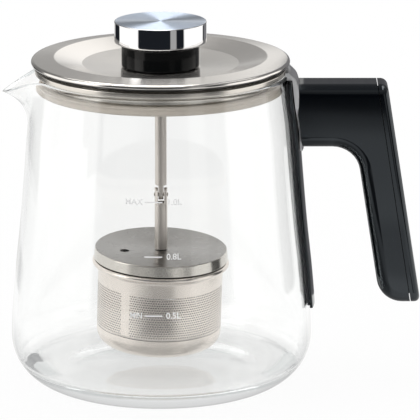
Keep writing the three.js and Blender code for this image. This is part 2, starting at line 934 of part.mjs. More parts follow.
function hangerNut() {
  const high = ring_top - ring_wall - seat_gap;
  const body = hexagon(hanger_nut_radius, high - hanger_nut_height, high);
  return body.subtract(disc(stud_hole_radius, -cut_overrun, cut_overrun, small_sides));
}

function basketWall() {
  const inner = basket_wall_radius - basket_sheet;
  const bead_radius = basket_wall_radius + basket_bead_reach - basket_bead_radius;
  const bead = arc(bead_radius, bead_centre_height, basket_bead_radius, -90, 90, basket_bead_steps);
  const flare_low = bead_centre_height - basket_bead_radius - basket_flare_height;
  const outline = [
    [inner, seam_height + seat_gap],
    [basket_wall_radius, seam_height + seat_gap],
    [basket_wall_radius, flare_low],
    ...bead,
    [inner, bead_top],
  ];
  return solidOf(turned(ringOutline(outline), basket_sides));
}

// Drawn bottom, with a collar that laps inside the wall
function basketPan() {
  const inner = basket_wall_radius - basket_sheet;
  const corner = arc(
    basket_wall_radius - basket_corner_radius,
    basket_bottom + basket_corner_radius,
    basket_corner_radius,
    -90,
    0,
    basket_corner_steps,
  );
  const inner_corner = arc(
    basket_wall_radius - basket_corner_radius,
    basket_bottom + basket_corner_radius,
    basket_corner_radius - basket_sheet,
    0,
    -90,
    basket_corner_steps - 1,
  );
  const collar = inner - slide_gap;
  const outline = [
    [0, basket_bottom],
    ...corner,
    [basket_wall_radius, seam_height],
    [collar, seam_height],
    [collar, seam_height + basket_lap],
    [collar - basket_sheet, seam_height + basket_lap],
    ...inner_corner.map(([radius, height]) => [Math.min(radius, collar - basket_sheet), height]),
    [0, basket_bottom + basket_sheet],
  ];
  return solidOf(turned(outline, basket_sides));
}

// Assembly
const jug = new THREE.Group();
jug.add(meshOf("glass_jug", glassJug(), clear_glass));
jug.add(meshOf("leg_pad", legPad(), dark_silicone));
jug.add(meshOf("handle_leg", handleLeg(), black_plastic));
jug.add(meshOf("handle_bracket", handleBracket(), polished_steel));
jug.add(meshOf("handle_shell", handleShell(), black_plastic));
jug.add(meshOf("handle_cover", handleCover(), black_plastic));
jug.add(meshOf("handle_core", handleCore(), satin_steel));
screw_heights.forEach((height, i) => {
  jug.add(meshOf("bracket_screw_" + screw_names[i], bracketScrew(height), polished_steel));
});

const lid = new THREE.Group();
lid.add(meshOf("lid_plate", lidPlate(), satin_steel));
lid.add(meshOf("lid_plug", lidPlug(), polished_steel));
lid.add(meshOf("lid_gasket", lidGasket(), pale_silicone));
lid.add(meshOf("rod_bush", rodBush(), dark_silicone));
lid.add(meshOf("bush_nut", bushNut(), satin_steel));

const lifter = new THREE.Group();
lifter.add(meshOf("knob_neck", knobNeck(), black_plastic));
lifter.add(meshOf("knob_pad", knobPad(), dark_silicone));
lifter.add(meshOf("knob_cap", knobCap(), chrome));
lifter.add(meshOf("knob_insert", knobInsert(), brass));
lifter.add(meshOf("knob_screw", knobScrew(), polished_steel));
lifter.add(meshOf("lift_rod", liftRod(), satin_steel));

const hanger = new THREE.Group();
hanger.add(meshOf("hanger_fork", hangerFork(), satin_steel));
hanger.add(meshOf("hinge_pin", hingePin(), polished_steel));

const infuser = new THREE.Group();
infuser.position.z = basket_lid_height;
infuser.rotation.copy(basket_tilt);
infuser.add(meshOf("basket_lid", basketLid(), satin_steel));
infuser.add(meshOf("lid_ring", lidRing(), satin_steel));
infuser.add(meshOf("hanger_nut", hangerNut(), polished_steel));
infuser.add(meshOf("basket_wall", basketWall(), satin_steel));
infuser.add(meshOf("basket_pan", basketPan(), satin_steel));

const tea_jug = new THREE.Group();
tea_jug.add(jug, lid, lifter, hanger, infuser);

export default tea_jug;
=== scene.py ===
# %% [markdown]
# # A glass tea maker jug, dressed in Blender
#
# The object is a clear jug with a drawn spout, a black handle, and a steel lid. A chrome knob on the lid
# lifts an infuser that hangs on a hinged rod inside the glass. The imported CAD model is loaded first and
# stays where it is. Each visible piece is then modelled again with finer detail, in the same place, and
# rides on the same body.

# %% Load the frame
import math

import bpy
from mathutils import Matrix, Vector


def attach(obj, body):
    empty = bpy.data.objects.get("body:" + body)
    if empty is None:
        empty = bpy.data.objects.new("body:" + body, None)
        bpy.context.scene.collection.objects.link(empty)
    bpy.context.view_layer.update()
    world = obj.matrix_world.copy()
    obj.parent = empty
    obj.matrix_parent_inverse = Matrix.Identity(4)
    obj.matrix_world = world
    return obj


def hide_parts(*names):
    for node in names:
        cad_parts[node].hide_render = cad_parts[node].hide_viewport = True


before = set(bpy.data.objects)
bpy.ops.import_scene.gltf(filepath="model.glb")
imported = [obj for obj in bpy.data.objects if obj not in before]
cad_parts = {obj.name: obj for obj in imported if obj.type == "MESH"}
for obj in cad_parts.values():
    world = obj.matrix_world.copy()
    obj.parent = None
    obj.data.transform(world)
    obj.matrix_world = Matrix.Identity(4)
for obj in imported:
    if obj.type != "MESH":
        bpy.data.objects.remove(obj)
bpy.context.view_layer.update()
MM = 0.001

# %% [markdown]
# ## Camera
#
# The photograph was taken with a long lens from well back and a little above the lid, so near and far edges
# have almost the same scale. A long focal length from 1.7 m gives that look. A shorter lens close by would
# swell the knob.

# %% Camera
CAMERA_PLACE = (0.0210, -1.7001, 0.5108)
CAMERA_PITCH = math.radians(75.62)
FOCAL_LENGTH = 350.9
SENSOR_WIDTH = 36

lens = bpy.data.cameras.new("long_lens")
lens.sensor_width = SENSOR_WIDTH
lens.lens = FOCAL_LENGTH
camera = bpy.data.objects.new("camera", lens)
camera.location = CAMERA_PLACE
camera.rotation_euler = (CAMERA_PITCH, 0, 0)
bpy.context.scene.collection.objects.link(camera)
bpy.context.scene.camera = camera
bpy.context.scene.view_settings.view_transform = "Standard"
print("camera lens", lens.lens, "mm")

# %% [markdown]
# ## Shader maths as Python
#
# Finishes are built from nodes. Writing `noise * 0.2 + 0.5` is easier to read than a chain of Math nodes,
# so one small class wraps a socket and turns the usual operators into Math nodes. Every other node comes
# from one method, which takes the node's type, its settings, and what goes into its sockets.

# %% Node tools
class Value:
    """An output socket that can be used in sums."""

    def __init__(self, nodes, socket):
        self.nodes = nodes
        self.socket = socket

    def combine(self, operation, first, second):
        return self.nodes.node("ShaderNodeMath", {"operation": operation}, {0: first, 1: second})

    def __add__(self, other):
        return self.combine("ADD", self, other)

    def __radd__(self, other):
        return self.combine("ADD", other, self)

    def __sub__(self, other):
        return self.combine("SUBTRACT", self, other)

    def __rsub__(self, other):
        return self.combine("SUBTRACT", other, self)

    def __mul__(self, other):
        return self.combine("MULTIPLY", self, other)

    def __rmul__(self, other):
        return self.combine("MULTIPLY", other, self)

    def __truediv__(self, other):
        return self.combine("DIVIDE", self, other)


class Nodes:
    """The node tree of a finish or of the world."""

    def __init__(self, owner):
        owner.use_nodes = True
        self.owner = owner
        self.tree = owner.node_tree
        self.tree.nodes.clear()

    def node(self, kind, settings=None, sockets=None, output=0):
        made = self.tree.nodes.new(kind)
        for name, setting in (settings or {}).items():
            setattr(made, name, setting)
        for name, value in (sockets or {}).items():
            if isinstance(value, Value):
                self.tree.links.new(value.socket, made.inputs[name])
            else:
                made.inputs[name].default_value = value
        return Value(self, made.outputs[output]) if len(made.outputs) else None

    def finish(self, shader, kind="ShaderNodeOutputMaterial"):
        self.node(kind, {}, {"Surface": shader})
        return self.owner

    def coordinates(self):
        return self.node("ShaderNodeTexCoord", output="Object")

    def noise(self, vector, scale, detail=3.0, roughness=0.5):
        return self.node(
            "ShaderNodeTexNoise",
            {"noise_dimensions": "3D"},
            {"Vector": vector, "Scale": scale, "Detail": detail, "Roughness": roughness},
        )

    def bump(self, height, strength, distance):
        return self.node(
            "ShaderNodeBump", {}, {"Height": height, "Strength": strength, "Distance": distance}
        )

    def axes(self, vector):
        return [self.node("ShaderNodeSeparateXYZ", {}, {0: vector}, output=i) for i in range(3)]

    def colour_between(self, factor, first, second):
        """A colour that varies from the first at 0 to the second at 1."""
        ends = {6: (*first, 1), 7: (*second, 1)}
        return self.node("ShaderNodeMix", {"data_type": "RGBA"}, {0: factor, **ends}, output=2)

    def mix(self, factor, first, second):
        """The first shader at 0, the second at 1."""
        return self.node("ShaderNodeMixShader", {}, {0: factor, 1: first, 2: second})

    def glow(self, colour, strength, kind="ShaderNodeEmission"):
        return self.node(kind, {}, {"Color": (*colour, 1), "Strength": strength})

    def larger(self, first, second):
        return self.node("ShaderNodeMath", {"operation": "MAXIMUM"}, {0: first, 1: second})

    def size_of(self, value):
        return self.node("ShaderNodeMath", {"operation": "ABSOLUTE"}, {0: value})

    def band(self, value, low, high):
        """1 between two soft edges, each given by where it starts and ends."""
        return self.smooth_step(value, *low) * (1 - self.smooth_step(value, *high))

    def smooth_step(self, value, low, high):
        """0 below low, 1 above high, and a soft ramp between."""
        sockets = {0: value, 1: low, 2: high, 3: 0.0, 4: 1.0}
        return self.node("ShaderNodeMapRange", {"interpolation_type": "SMOOTHSTEP"}, sockets)

    def ray(self, question):
        """What kind of ray is asking, or how often it has bounced."""
        return self.node("ShaderNodeLightPath", output=question)


def new_finish(name):
    return Nodes(bpy.data.materials.new(name))


WHITE = (1, 1, 1)
print("node tools ready")

# %% [markdown]
# ## Steel finishes
#
# The lids are spun steel: they turned on a lathe while fine paper touched them, so tiny grooves run round
# the axis. A cylinder of light and dark streaks that depend on radius and height gives those grooves. The
# gloss stretches across them, which the Principled shader's anisotropy does with its own round tangent.

# %% Steel
GROOVES = 9000.0
CLOUDS = 260.0
DARKER = 0.94
GROOVE_DEPTH = 0.02


def steel(name, colour, roughness, streaks, grain, anisotropy=0.0, metallic=1.0):
    """Steel with fine grooves round the axis. streaks is how much they change the roughness."""
    made = new_finish(name)
    place = made.coordinates()
    x, y, z = made.axes(place)
    across = made.node("ShaderNodeMath", {"operation": "SQRT"}, {0: x * x + y * y})
    rings = made.node("ShaderNodeCombineXYZ", {}, {0: across, 1: z, 2: 0.0})
    groove = made.noise(rings, GROOVES, detail=2.0)
    cloud = made.noise(place, CLOUDS)
    rough = roughness + streaks * (groove - 0.5) + streaks * (cloud - 0.5)
    tint = made.colour_between(cloud * 0.8, [c * DARKER for c in colour], colour)
    shader = made.node(
        "ShaderNodeBsdfPrincipled",
        {},
        {
            "Base Color": tint,
            "Metallic": metallic,
            "Roughness": rough,
            "Anisotropic": anisotropy,
            "Anisotropic Rotation": 0.25,
            "Normal": made.bump(groove, grain, GROOVE_DEPTH * MM),
        },
    )
    return made.finish(shader)


satin_steel = steel("satin_steel", (0.37, 0.355, 0.34), 0.30, 0.14, 0.30, anisotropy=0.85)
lid_steel = steel("lid_steel", (0.87, 0.84, 0.80), 0.18, 0.06, 0.15, anisotropy=0.7)
polished_steel = steel("polished_steel", (0.72, 0.69, 0.64), 0.18, 0.05, 0.08, metallic=0.93)
band_steel = steel("band_steel", (0.74, 0.70, 0.64), 0.22, 0.06, 0.10, metallic=0.85)
rod_steel = steel("rod_steel", (0.76, 0.71, 0.66), 0.40, 0.06, 0.10, metallic=0.88)
bracket_steel = steel("bracket_steel", (0.42, 0.42, 0.43), 0.32, 0.06, 0.10, metallic=0.75)
# The paler, less metallic edge steel is a painted highlight for the bracket's cut sides.
edge_highlight_steel = steel("edge_highlight_steel", (0.80, 0.80, 0.81), 0.40, 0.06, 0.10, metallic=0.35)
basket_steel = steel("basket_steel", (0.88, 0.82, 0.76), 0.24, 0.08, 0.10, metallic=0.96)
spun_chrome = steel("spun_chrome", (0.66, 0.74, 0.86), 0.42, 0.05, 0.03, anisotropy=1.0)
bright_chrome = steel("bright_chrome", (0.88, 0.88, 0.89), 0.03, 0.015, 0.02)
# Near-black steel is painted shade. It goes where shadow falls: under the lid's rolled edge, in the basket's
# gaps and hollows, and on the handle's core behind its seam.
painted_shade_steel = steel("painted_shade_steel", (0.10, 0.095, 0.09), 0.50, 0.08, 0.10)
turned_brass = steel("turned_brass", (0.72, 0.52, 0.24), 0.30, 0.10, 0.20)
print("steel finishes", satin_steel.name, polished_steel.name, spun_chrome.name)

# %% [markdown]
# ## Plastic, silicone and print
#
# The handle is moulded black plastic with a very fine spark-eroded grain, a little bluish where it catches
# light. Silicone is softer and paler, with slow colour changes. The fill scale is matt pale print baked on
# the glass.

# %% Plastic, silicone and print
SLOW_MOTTLE = 60.0
GRAIN_DEPTH = 0.03


def moulded(name, colour, roughness, grain, grain_scale, mottle=0.12, gloss=0.5, gloss_tint=WHITE):
    """Plastic, silicone or print. grain is the strength of its bumps, mottle how much its colour varies."""
    made = new_finish(name)
    place = made.coordinates()
    fine = made.noise(place, grain_scale, detail=4.0, roughness=0.6)
    slow = made.noise(place, SLOW_MOTTLE, detail=2.0)
    tint = made.colour_between(slow, [c * (1 - mottle) for c in colour], [c * (1 + mottle) for c in colour])
    shader = made.node(
        "ShaderNodeBsdfPrincipled",
        {},
        {
            "Base Color": tint,
            "Roughness": roughness * (0.6 + 0.5 * fine + 0.3 * slow),
            "Specular IOR Level": gloss,
            "Specular Tint": (*gloss_tint, 1),
            "Normal": made.bump(fine, grain, GRAIN_DEPTH * MM),
        },
    )
    return made.finish(shader)


SPARK_GRAIN = 2600.0
BLUISH = (0.84, 0.93, 1)
black_plastic = moulded(
    "black_plastic", (0.0013, 0.0018, 0.0026), 0.06, 0.03, SPARK_GRAIN, gloss=0.72, gloss_tint=BLUISH
)
knob_plastic = moulded("knob_plastic", (0.0015, 0.002, 0.0025), 0.07, 0.02, SPARK_GRAIN, gloss=0.22)
dark_silicone = moulded("dark_silicone", (0.020, 0.022, 0.026), 0.55, 0.30, 1500.0)
pale_silicone = moulded("pale_silicone", (0.66, 0.60, 0.53), 0.45, 0.20, 900.0, mottle=0.05)
scale_print = moulded("scale_print", (0.87, 0.87, 0.87), 0.60, 0.25, 5000.0, mottle=0.04)
print("moulded finishes", black_plastic.name, pale_silicone.name)

# %% [markdown]
# ## Glass
#
# Blown glass bends what is behind it and mirrors more and more towards its edges. The Principled shader's
# transmission does both. Its faint waves are a very shallow noise in the normal. Real glass lets the lamps
# through too, so a Transparent shader stands in for rays that only ask whether a lamp is hidden, and for
# those that have been mirrored more than twice, which the thick foot would turn dark.

# %% Glass
GLASS_IOR = 1.47
MOST_MIRRORS = 2
WAVES = 34.0
WAVE_STRETCH = (1.0, 1.0, 0.35)
WAVE_DEPTH = 0.35


def clear_glass():
    made = new_finish("clear_glass")
    long_way = made.node("ShaderNodeMapping", {}, {"Vector": made.coordinates(), "Scale": WAVE_STRETCH})
    waves = made.noise(long_way, WAVES, detail=1.0)
    glass = made.node(
        "ShaderNodeBsdfPrincipled",
        {},
        {
            "Base Color": (0.995, 0.998, 0.994, 1),
            "Roughness": 0.0,
            "IOR": GLASS_IOR,
            "Transmission Weight": 1.0,
            "Normal": made.bump(waves, 0.12, WAVE_DEPTH * MM),
        },
    )
    open_glass = made.node("ShaderNodeBsdfTransparent", {}, {"Color": (0.93, 0.94, 0.94, 1)})
    worn_out = made.smooth_step(made.ray("Glossy Depth"), MOST_MIRRORS + 0.4, MOST_MIRRORS + 0.6)
    let_through = made.larger(made.ray("Is Shadow Ray"), worn_out)
    return made.finish(made.mix(let_through, glass, open_glass))


glass = clear_glass()
print("glass finish", glass.name)

# %% [markdown]
# ## Drawing and turning
#
# Most pieces here are turned: glass, lids, knob, rod and basket. Each starts as a single point, which is
# extruded along one side of the outline and then spun round the axis, as on a lathe. Outlines are lists of
# corners with a rounding each, in millimetres, so they read like a drawing.

# %% Modelling tools
SIDES = 128
FINE_SIDES = 180
ROD_SIDES = 48
MERGE = 0.002 * MM
SMOOTH_ANGLE = math.radians(38)


def rounded(corners, steps=5):
    """Points along corners of (across, up, rounding), with every rounding drawn as an arc."""
    points = []
    for i, (across, up, rounding) in enumerate(corners):
        corner = Vector((across, up))
        if not rounding:
            points.append(corner)
            continue
        before = (Vector(corners[i - 1][:2]) - corner).normalized()
        after = (Vector(corners[(i + 1) % len(corners)][:2]) - corner).normalized()
        half = before.angle(after) / 2
        centre = corner + (before + after).normalized() * rounding / math.sin(half)
        run = rounding / math.tan(half)
        start = (corner + before * run - centre).normalized()
        end = (corner + after * run - centre).normalized()
        spokes = [start.slerp(end, step / steps).normalized() for step in range(steps + 1)]
        points += [centre + spoke * rounding for spoke in spokes]
    return points


def arc(centre, radius, start, end, steps):
    """Points on an arc between two angles in degrees, counted from the outward direction."""
    angles = [math.radians(start + (end - start) * step / steps) for step in range(steps + 1)]
    return [Vector((centre[0] + radius * math.cos(a), centre[1] + radius * math.sin(a))) for a in angles]


def deselect():
    bpy.ops.object.select_all(action="DESELECT")


def pick(piece):
    """Makes a piece the only selected one, and the active one."""
    deselect()
    piece.select_set(True)
    bpy.context.view_layer.objects.active = piece


def first_point(name):
    """A new object of one vertex, in edit mode: a small plane merged to its middle."""
    deselect()
    bpy.ops.mesh.primitive_plane_add(size=MM)
    piece = bpy.context.object
    piece.name = piece.data.name = name
    bpy.ops.object.mode_set(mode="EDIT")
    bpy.ops.mesh.select_mode(type="VERT")
    bpy.ops.mesh.select_all(action="SELECT")
    bpy.ops.mesh.merge(type="CENTER")
    return piece


def draw(points):
    """Extrudes the first point along a line."""
    bpy.ops.transform.translate(value=points[0])
    for here, there in zip(points, points[1:]):
        bpy.ops.mesh.extrude_region_move(TRANSFORM_OT_translate={"value": there - here})


def close_up():
    """Merges doubles and turns all faces outwards."""
    bpy.ops.mesh.select_all(action="SELECT")
    bpy.ops.mesh.remove_doubles(threshold=MERGE)
    bpy.ops.mesh.normals_make_consistent(inside=False)


def leave_edit(piece):
    bpy.ops.object.mode_set(mode="OBJECT")
    bpy.ops.object.shade_smooth_by_angle(angle=SMOOTH_ANGLE)
    return piece


def turned(name, outline, ring=False, sides=SIDES):
    """A turned piece from points of (radius, height) in millimetres. ring closes the outline on itself."""
    piece = first_point(name)
    points = [Vector((radius, 0, height)) * MM for radius, height in outline]
    draw(points + points[:1] if ring else points)
    bpy.ops.mesh.select_all(action="SELECT")
    bpy.ops.mesh.spin(steps=sides, angle=math.tau, center=(0, 0, 0), axis=(0, 0, 1))
    close_up()
    return leave_edit(piece)


def modify(piece, kind, **settings):
    """Adds a modifier and applies it at once."""
    pick(piece)
    modifier = piece.modifiers.new(kind.lower(), kind)
    for name, setting in settings.items():
        setattr(modifier, name, setting)
    bpy.ops.object.modifier_apply(modifier=modifier.name)


def second_finish(piece, finish, belongs):
    """Adds a finish to some faces of a piece. belongs gets a face's centre in millimetres and its normal."""
    piece.data.materials.append(finish)
    for face in piece.data.polygons:
        if belongs(face.center / MM, face.normal):
            face.material_index = len(piece.data.materials) - 1


def dress(piece, body, slot, finish, *nodes):
    """Gives a piece its finish and its body, and hides the CAD nodes it stands for."""
    if finish is not glass:
        modify(piece, "WEIGHTED_NORMAL", keep_sharp=True)
    piece.data.materials.clear()
    piece.data.materials.append(finish)
    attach(piece, body)
    if nodes:
        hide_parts(*nodes)
    print(piece.name, len(piece.data.polygons), "faces on", body)
    return piece


# %% [markdown]
# ## Glass jug
#
# The jug was blown into a mould: a flat foot, a round belly corner, a wall that narrows gently to the neck,
# and a heavy bottom. A scaled cylinder would keep the belly too stiff, so its outline is one curve through
# a few measured stations, each with the slope of its neighbours.

# %% Outline of the glass
FOOT_RADIUS = 43.0
BELLY_RADIUS = 64.5
BELLY_HEIGHT = 21.0
NECK_RADIUS = 54.2
RIM_HEIGHT = 135.3
GLASS_WALL = 2.0
GLASS_FLOOR = 8.0
WALL_SHARES = [
    (0, 0), (0.08, 0.03), (0.25, 0.185), (0.43, 0.4), (0.6, 0.565), (0.78, 0.73), (0.89, 0.89), (1, 1)
]


def wall_station(rise, narrowing):
    """A point of the wall, by its share of the height and of the narrowing."""
    radius = BELLY_RADIUS - narrowing * (BELLY_RADIUS - NECK_RADIUS)
    return Vector((radius, BELLY_HEIGHT + rise * (RIM_HEIGHT - BELLY_HEIGHT)))


def wall_curve(steps=12):
    """A smooth curve through the stations, each span with the slope of its neighbours."""
    stations = [wall_station(*share) for share in WALL_SHARES]
    points = []
    for i in range(len(stations) - 1):
        start, end = stations[i], stations[i + 1]
        slope_in = (end - stations[max(i - 1, 0)]) / 2
        slope_out = (stations[min(i + 2, len(stations) - 1)] - start) / 2
        for step in range(steps):
            t = step / steps
            points.append(
                start * (2 * t**3 - 3 * t**2 + 1)
                + slope_in * (t**3 - 2 * t**2 + t)
                + end * (3 * t**2 - 2 * t**3)
                + slope_out * (t**3 - t**2)
            )
    return points + stations[-1:]


WALL = wall_curve()


def glass_radius(height):
    """Outer radius of the glass at a height, both in millimetres."""
    if height < BELLY_HEIGHT:
        share = 1 - height / BELLY_HEIGHT
        return FOOT_RADIUS + (BELLY_RADIUS - FOOT_RADIUS) * math.sqrt(1 - share * share)
    for low, high in zip(WALL, WALL[1:]):
        if height <= high.y:
            return low.x + (high.x - low.x) * (height - low.y) / (high.y - low.y)
    return NECK_RADIUS


print("glass radius at mid height", round(glass_radius(78), 2), "mm")

# %% [markdown]
# ## Spout
#
# The spout was pulled out of the soft rim by hand. A separate spout would need a seam, so after turning,
# the points near the rim on one side are moved outwards and down instead, most of all at the lip.

# %% Turn the glass and pull its spout
SPOUT_REACH = 13.85
SPOUT_DROP = 8.0
SPOUT_FOOT = 112.0
SPOUT_HALF_ANGLE = 27.0
SPOUT_TIP_ANGLE = 1.5
INNER_CORNER = 5.0
LIP = 1.0


def steps_between(low, high, count):
    return [low + (high - low) * step / count for step in range(count + 1)]


def beside_wall(low, high, count, inwards=0.0):
    """Points that follow the wall between two heights, some way inside its outer face."""
    return [Vector((glass_radius(z) - inwards, z)) for z in steps_between(low, high, count)]


push_up = [Vector((0, 0.9)), Vector((30, 0.8)), Vector((38, 0.35)), Vector((41, 0.05))]
foot_growth = BELLY_RADIUS - FOOT_RADIUS
foot_corner = [
    Vector((FOOT_RADIUS + foot_growth * math.sin(turn), BELLY_HEIGHT * (1 - math.cos(turn))))
    for turn in steps_between(0, math.pi / 2, 14)
]
outer_wall = beside_wall(BELLY_HEIGHT, RIM_HEIGHT - LIP, 44)
rim = arc((NECK_RADIUS - LIP, RIM_HEIGHT - LIP), LIP, 10, 170, 6)
inner_low = GLASS_FLOOR + INNER_CORNER
inner_wall = beside_wall(RIM_HEIGHT - LIP, inner_low, 42, GLASS_WALL)
corner_middle = (glass_radius(inner_low) - GLASS_WALL - INNER_CORNER, inner_low)
floor_corner = arc(corner_middle, INNER_CORNER, 0, -90, 8)
glass_outline = push_up + foot_corner + outer_wall[1:] + rim + inner_wall + floor_corner[1:]
jug_glass = turned("jug_glass", glass_outline + [Vector((0, GLASS_FLOOR))], sides=FINE_SIDES)


def pull_spout(piece):
    """Moves the points near the spout outwards and down, most of all at its tip."""
    for vertex in piece.data.vertices:
        place = vertex.co / MM
        up = (place.z - SPOUT_FOOT) / (RIM_HEIGHT - SPOUT_FOOT)
        if up <= 0:
            continue
        turn = math.degrees(abs(math.atan2(place.y, -place.x)))
        near = 1 - (math.hypot(turn, SPOUT_TIP_ANGLE) - SPOUT_TIP_ANGLE) / SPOUT_HALF_ANGLE
        if near > 0:
            peak = near**2.3
            radius = math.hypot(place.x, place.y)
            grown = 1 + SPOUT_REACH * peak * up**1.7 / radius
            vertex.co = Vector((place.x * grown, place.y * grown, place.z - SPOUT_DROP * peak * up**2)) * MM


pull_spout(jug_glass)
dress(jug_glass, "jug", "clear_glass", glass, "glass_jug")

# %% [markdown]
# ## Fill scale
#
# Short dashes with plain numbers are printed on the front of the glass. Text and dashes are made flat,
# thrown onto the glass by a Shrinkwrap modifier, and given a hair of thickness, as a real screen print has.

# %% Fill scale
PRINT_LIFT = 0.06
PRINT_THICKNESS = 0.03
PRINT_START = -80.0
DASH_WIDTH = 7.4
DASH_HEIGHT = 0.55
NUMBER_SIZE = 3.6
WORD_SIZE = 3.4
BOLD = 0.05


def onto_glass(name, scale, across, height):
    """Turns a new flat drawing upright, in front of the jug, and throws it onto the glass."""
    piece = bpy.context.object
    piece.name = piece.data.name = name
    piece.scale = scale
    piece.rotation_euler = (math.pi / 2, 0, 0)
    piece.location = (across * MM, PRINT_START * MM, height * MM)
    bpy.ops.object.transform_apply(location=True, rotation=True, scale=True)
    modify(
        piece,
        "SHRINKWRAP",
        target=jug_glass,
        wrap_method="PROJECT",
        use_project_y=True,
        use_positive_direction=True,
        use_negative_direction=False,
        offset=PRINT_LIFT * MM,
        wrap_mode="ABOVE_SURFACE",
    )
    modify(piece, "SOLIDIFY", thickness=PRINT_THICKNESS * MM, offset=1)
    dress(piece, "jug", None, scale_print)


def printed_words(name, words, left, height, size, squeeze=1.0):
    deselect()
    bpy.ops.object.text_add()
    drawing = bpy.context.object.data
    drawing.body = words
    drawing.size = size * MM
    drawing.resolution_u = 3
    drawing.offset = BOLD * MM
    drawing.align_y = "CENTER"
    bpy.ops.object.convert(target="MESH")
    onto_glass(name, (squeeze, 1, 1), left, height)


def printed_dash(name, middle, height):
    deselect()
    bpy.ops.mesh.primitive_grid_add(x_subdivisions=8, y_subdivisions=1, size=MM)
    onto_glass(name, (DASH_WIDTH, DASH_HEIGHT, 1), middle, height)


HIGH_LINE = 93.1
LOW_LINE = 45.5
for label, height, dash, left in (
    ("1.0", HIGH_LINE, -2.4, 3.1), ("0.8", 70.2, -2.5, 2.9), ("0.5", LOW_LINE, -2.5, 2.7)
):
    mark = label.replace(".", "_")
    printed_dash("scale_dash_" + mark, dash, height)
    printed_words("scale_number_" + mark, label + "L", left, height, NUMBER_SIZE)
printed_words("scale_word_max", "MAX", -14.2, HIGH_LINE, WORD_SIZE)
printed_words("scale_word_min", "MIN", -12.3, LOW_LINE, WORD_SIZE, squeeze=0.84)

# %% [markdown]
# ## Lid
#
# The lid is two drawn steel dishes. The upper one has a rolled edge, a sloping brim and a sunken floor for
# the knob. The lower one is a plug with a bright band that rests on the rim of the glass, and a pale ring
# seals it inside.

# %% Lid plate and plug
LID_BORE = 4.7
LID_ROLL = (53.75, 140.4)
ROLL_RADIUS = 1.25
FACES_DOWN = -0.25
ROLL_MIDDLE = 140.9
BAND_INSIDE = 51.0
lid_top = rounded(
    [(LID_BORE, 138.0, 0), (17.0, 138.0, 6), (33.3, 139.7, 1.2), (45.3, 142.6, 1.6), (53.9, 141.65, 0)]
)
lid_under = rounded(
    [(52.3, 141.0, 0), (45.3, 141.8, 1.2), (33.3, 138.9, 1.2), (17.0, 137.2, 6), (LID_BORE, 137.2, 0)]
)
lid_outline = lid_top + arc(LID_ROLL, ROLL_RADIUS, 80, -150, 14) + lid_under
lid_plate = turned("lid_dish", lid_outline, ring=True, sides=FINE_SIDES)
dress(lid_plate, "lid", "satin_steel", lid_steel, "lid_plate")
# Faces that look down get the darker satin steel, and those on the lower half of the roll the near-black
# steel. Both are painted shade under the rolled edge.
second_finish(lid_plate, satin_steel, lambda centre, normal: normal.z < FACES_DOWN)
second_finish(lid_plate, painted_shade_steel, lambda centre, normal: normal.z < FACES_DOWN and centre.z < ROLL_MIDDLE)

plug_outline = rounded(
    [
        (LID_BORE, 127.6, 0), (49.5, 127.6, 1.2), (49.5, 135.6, 0.4), (53.5, 135.6, 0.45),
        (53.5, 137.9, 0.45), (50.0, 137.9, 0.3), (50.0, 140.6, 0), (49.2, 140.6, 0), (49.2, 137.1, 0),
        (48.7, 136.0, 0), (48.7, 128.4, 0.6), (LID_BORE, 128.4, 0),
    ],
    steps=3,
)
lid_plug = turned("lid_pan", plug_outline, ring=True, sides=FINE_SIDES)
dress(lid_plug, "lid", "polished_steel", polished_steel, "lid_plug")
second_finish(lid_plug, band_steel, lambda centre, normal: math.hypot(centre.x, centre.y) > BAND_INSIDE)

# %% [markdown]
# ## Seal and bush
#
# The seal is a soft ring with two lips. The rod slides in a bush that is pushed through the lid from below.
# Both are small closed outlines, turned like the lid, because lips added to a plain ring would need more
# steps.

# %% Gasket and rod bush
gasket_outline = rounded(
    [
        (49.75, 128.0, 0.2), (51.0, 127.9, 0.5), (51.9, 128.5, 0.4), (51.2, 129.7, 0.3),
        (51.2, 130.1, 0.3), (51.9, 131.1, 0.4), (51.0, 131.8, 0.5), (49.75, 131.8, 0.2),
    ],
    steps=3,
)
lid_gasket = turned("lid_seal", gasket_outline, ring=True)
dress(lid_gasket, "lid", "pale_silicone", pale_silicone, "lid_gasket")

bush_outline = rounded(
    [
        (2.8, 126.1, 0.2), (7.0, 126.1, 0.5), (7.0, 127.3, 0.3), (4.4, 127.3, 0), (4.4, 137.8, 0.2),
        (2.8, 137.8, 0.2),
    ],
    steps=3,
)
rod_bush = turned("rod_guide", bush_outline, ring=True, sides=ROD_SIDES)
dress(rod_bush, "lid", "dark_silicone", dark_silicone, "rod_bush")

# %% [markdown]
# ## Knob
#
# A chrome cap sits on a black neck. The cap's side is mirror bright, while its top was faced on a lathe,
# which gives the two bright wedges that meet in the middle. Side and top are one mesh with two finishes.

# %% Knob
CAP_RADIUS = 19.6
CAP_LOW = 148.7
CAP_TOP = 157.7
CAP_INSIDE = 18.0
CAP_SHEET = 2.0
FACES_UP = 0.9
cap_outline = rounded(
    [
        (CAP_INSIDE, CAP_LOW, 0.2), (CAP_RADIUS, CAP_LOW, 0.5), (CAP_RADIUS, CAP_TOP, 0.45),
        (0, CAP_TOP, 0), (0, CAP_TOP - CAP_SHEET, 0), (CAP_INSIDE, CAP_TOP - CAP_SHEET, 0.6),
    ],
    steps=4,
)
knob_cap = turned("knob_cap_chrome", cap_outline, ring=True, sides=FINE_SIDES)
dress(knob_cap, "lifter", "chrome", bright_chrome, "knob_cap")
second_finish(knob_cap, spun_chrome, lambda centre, normal: normal.z > FACES_UP and centre.z > CAP_TOP - 0.2)

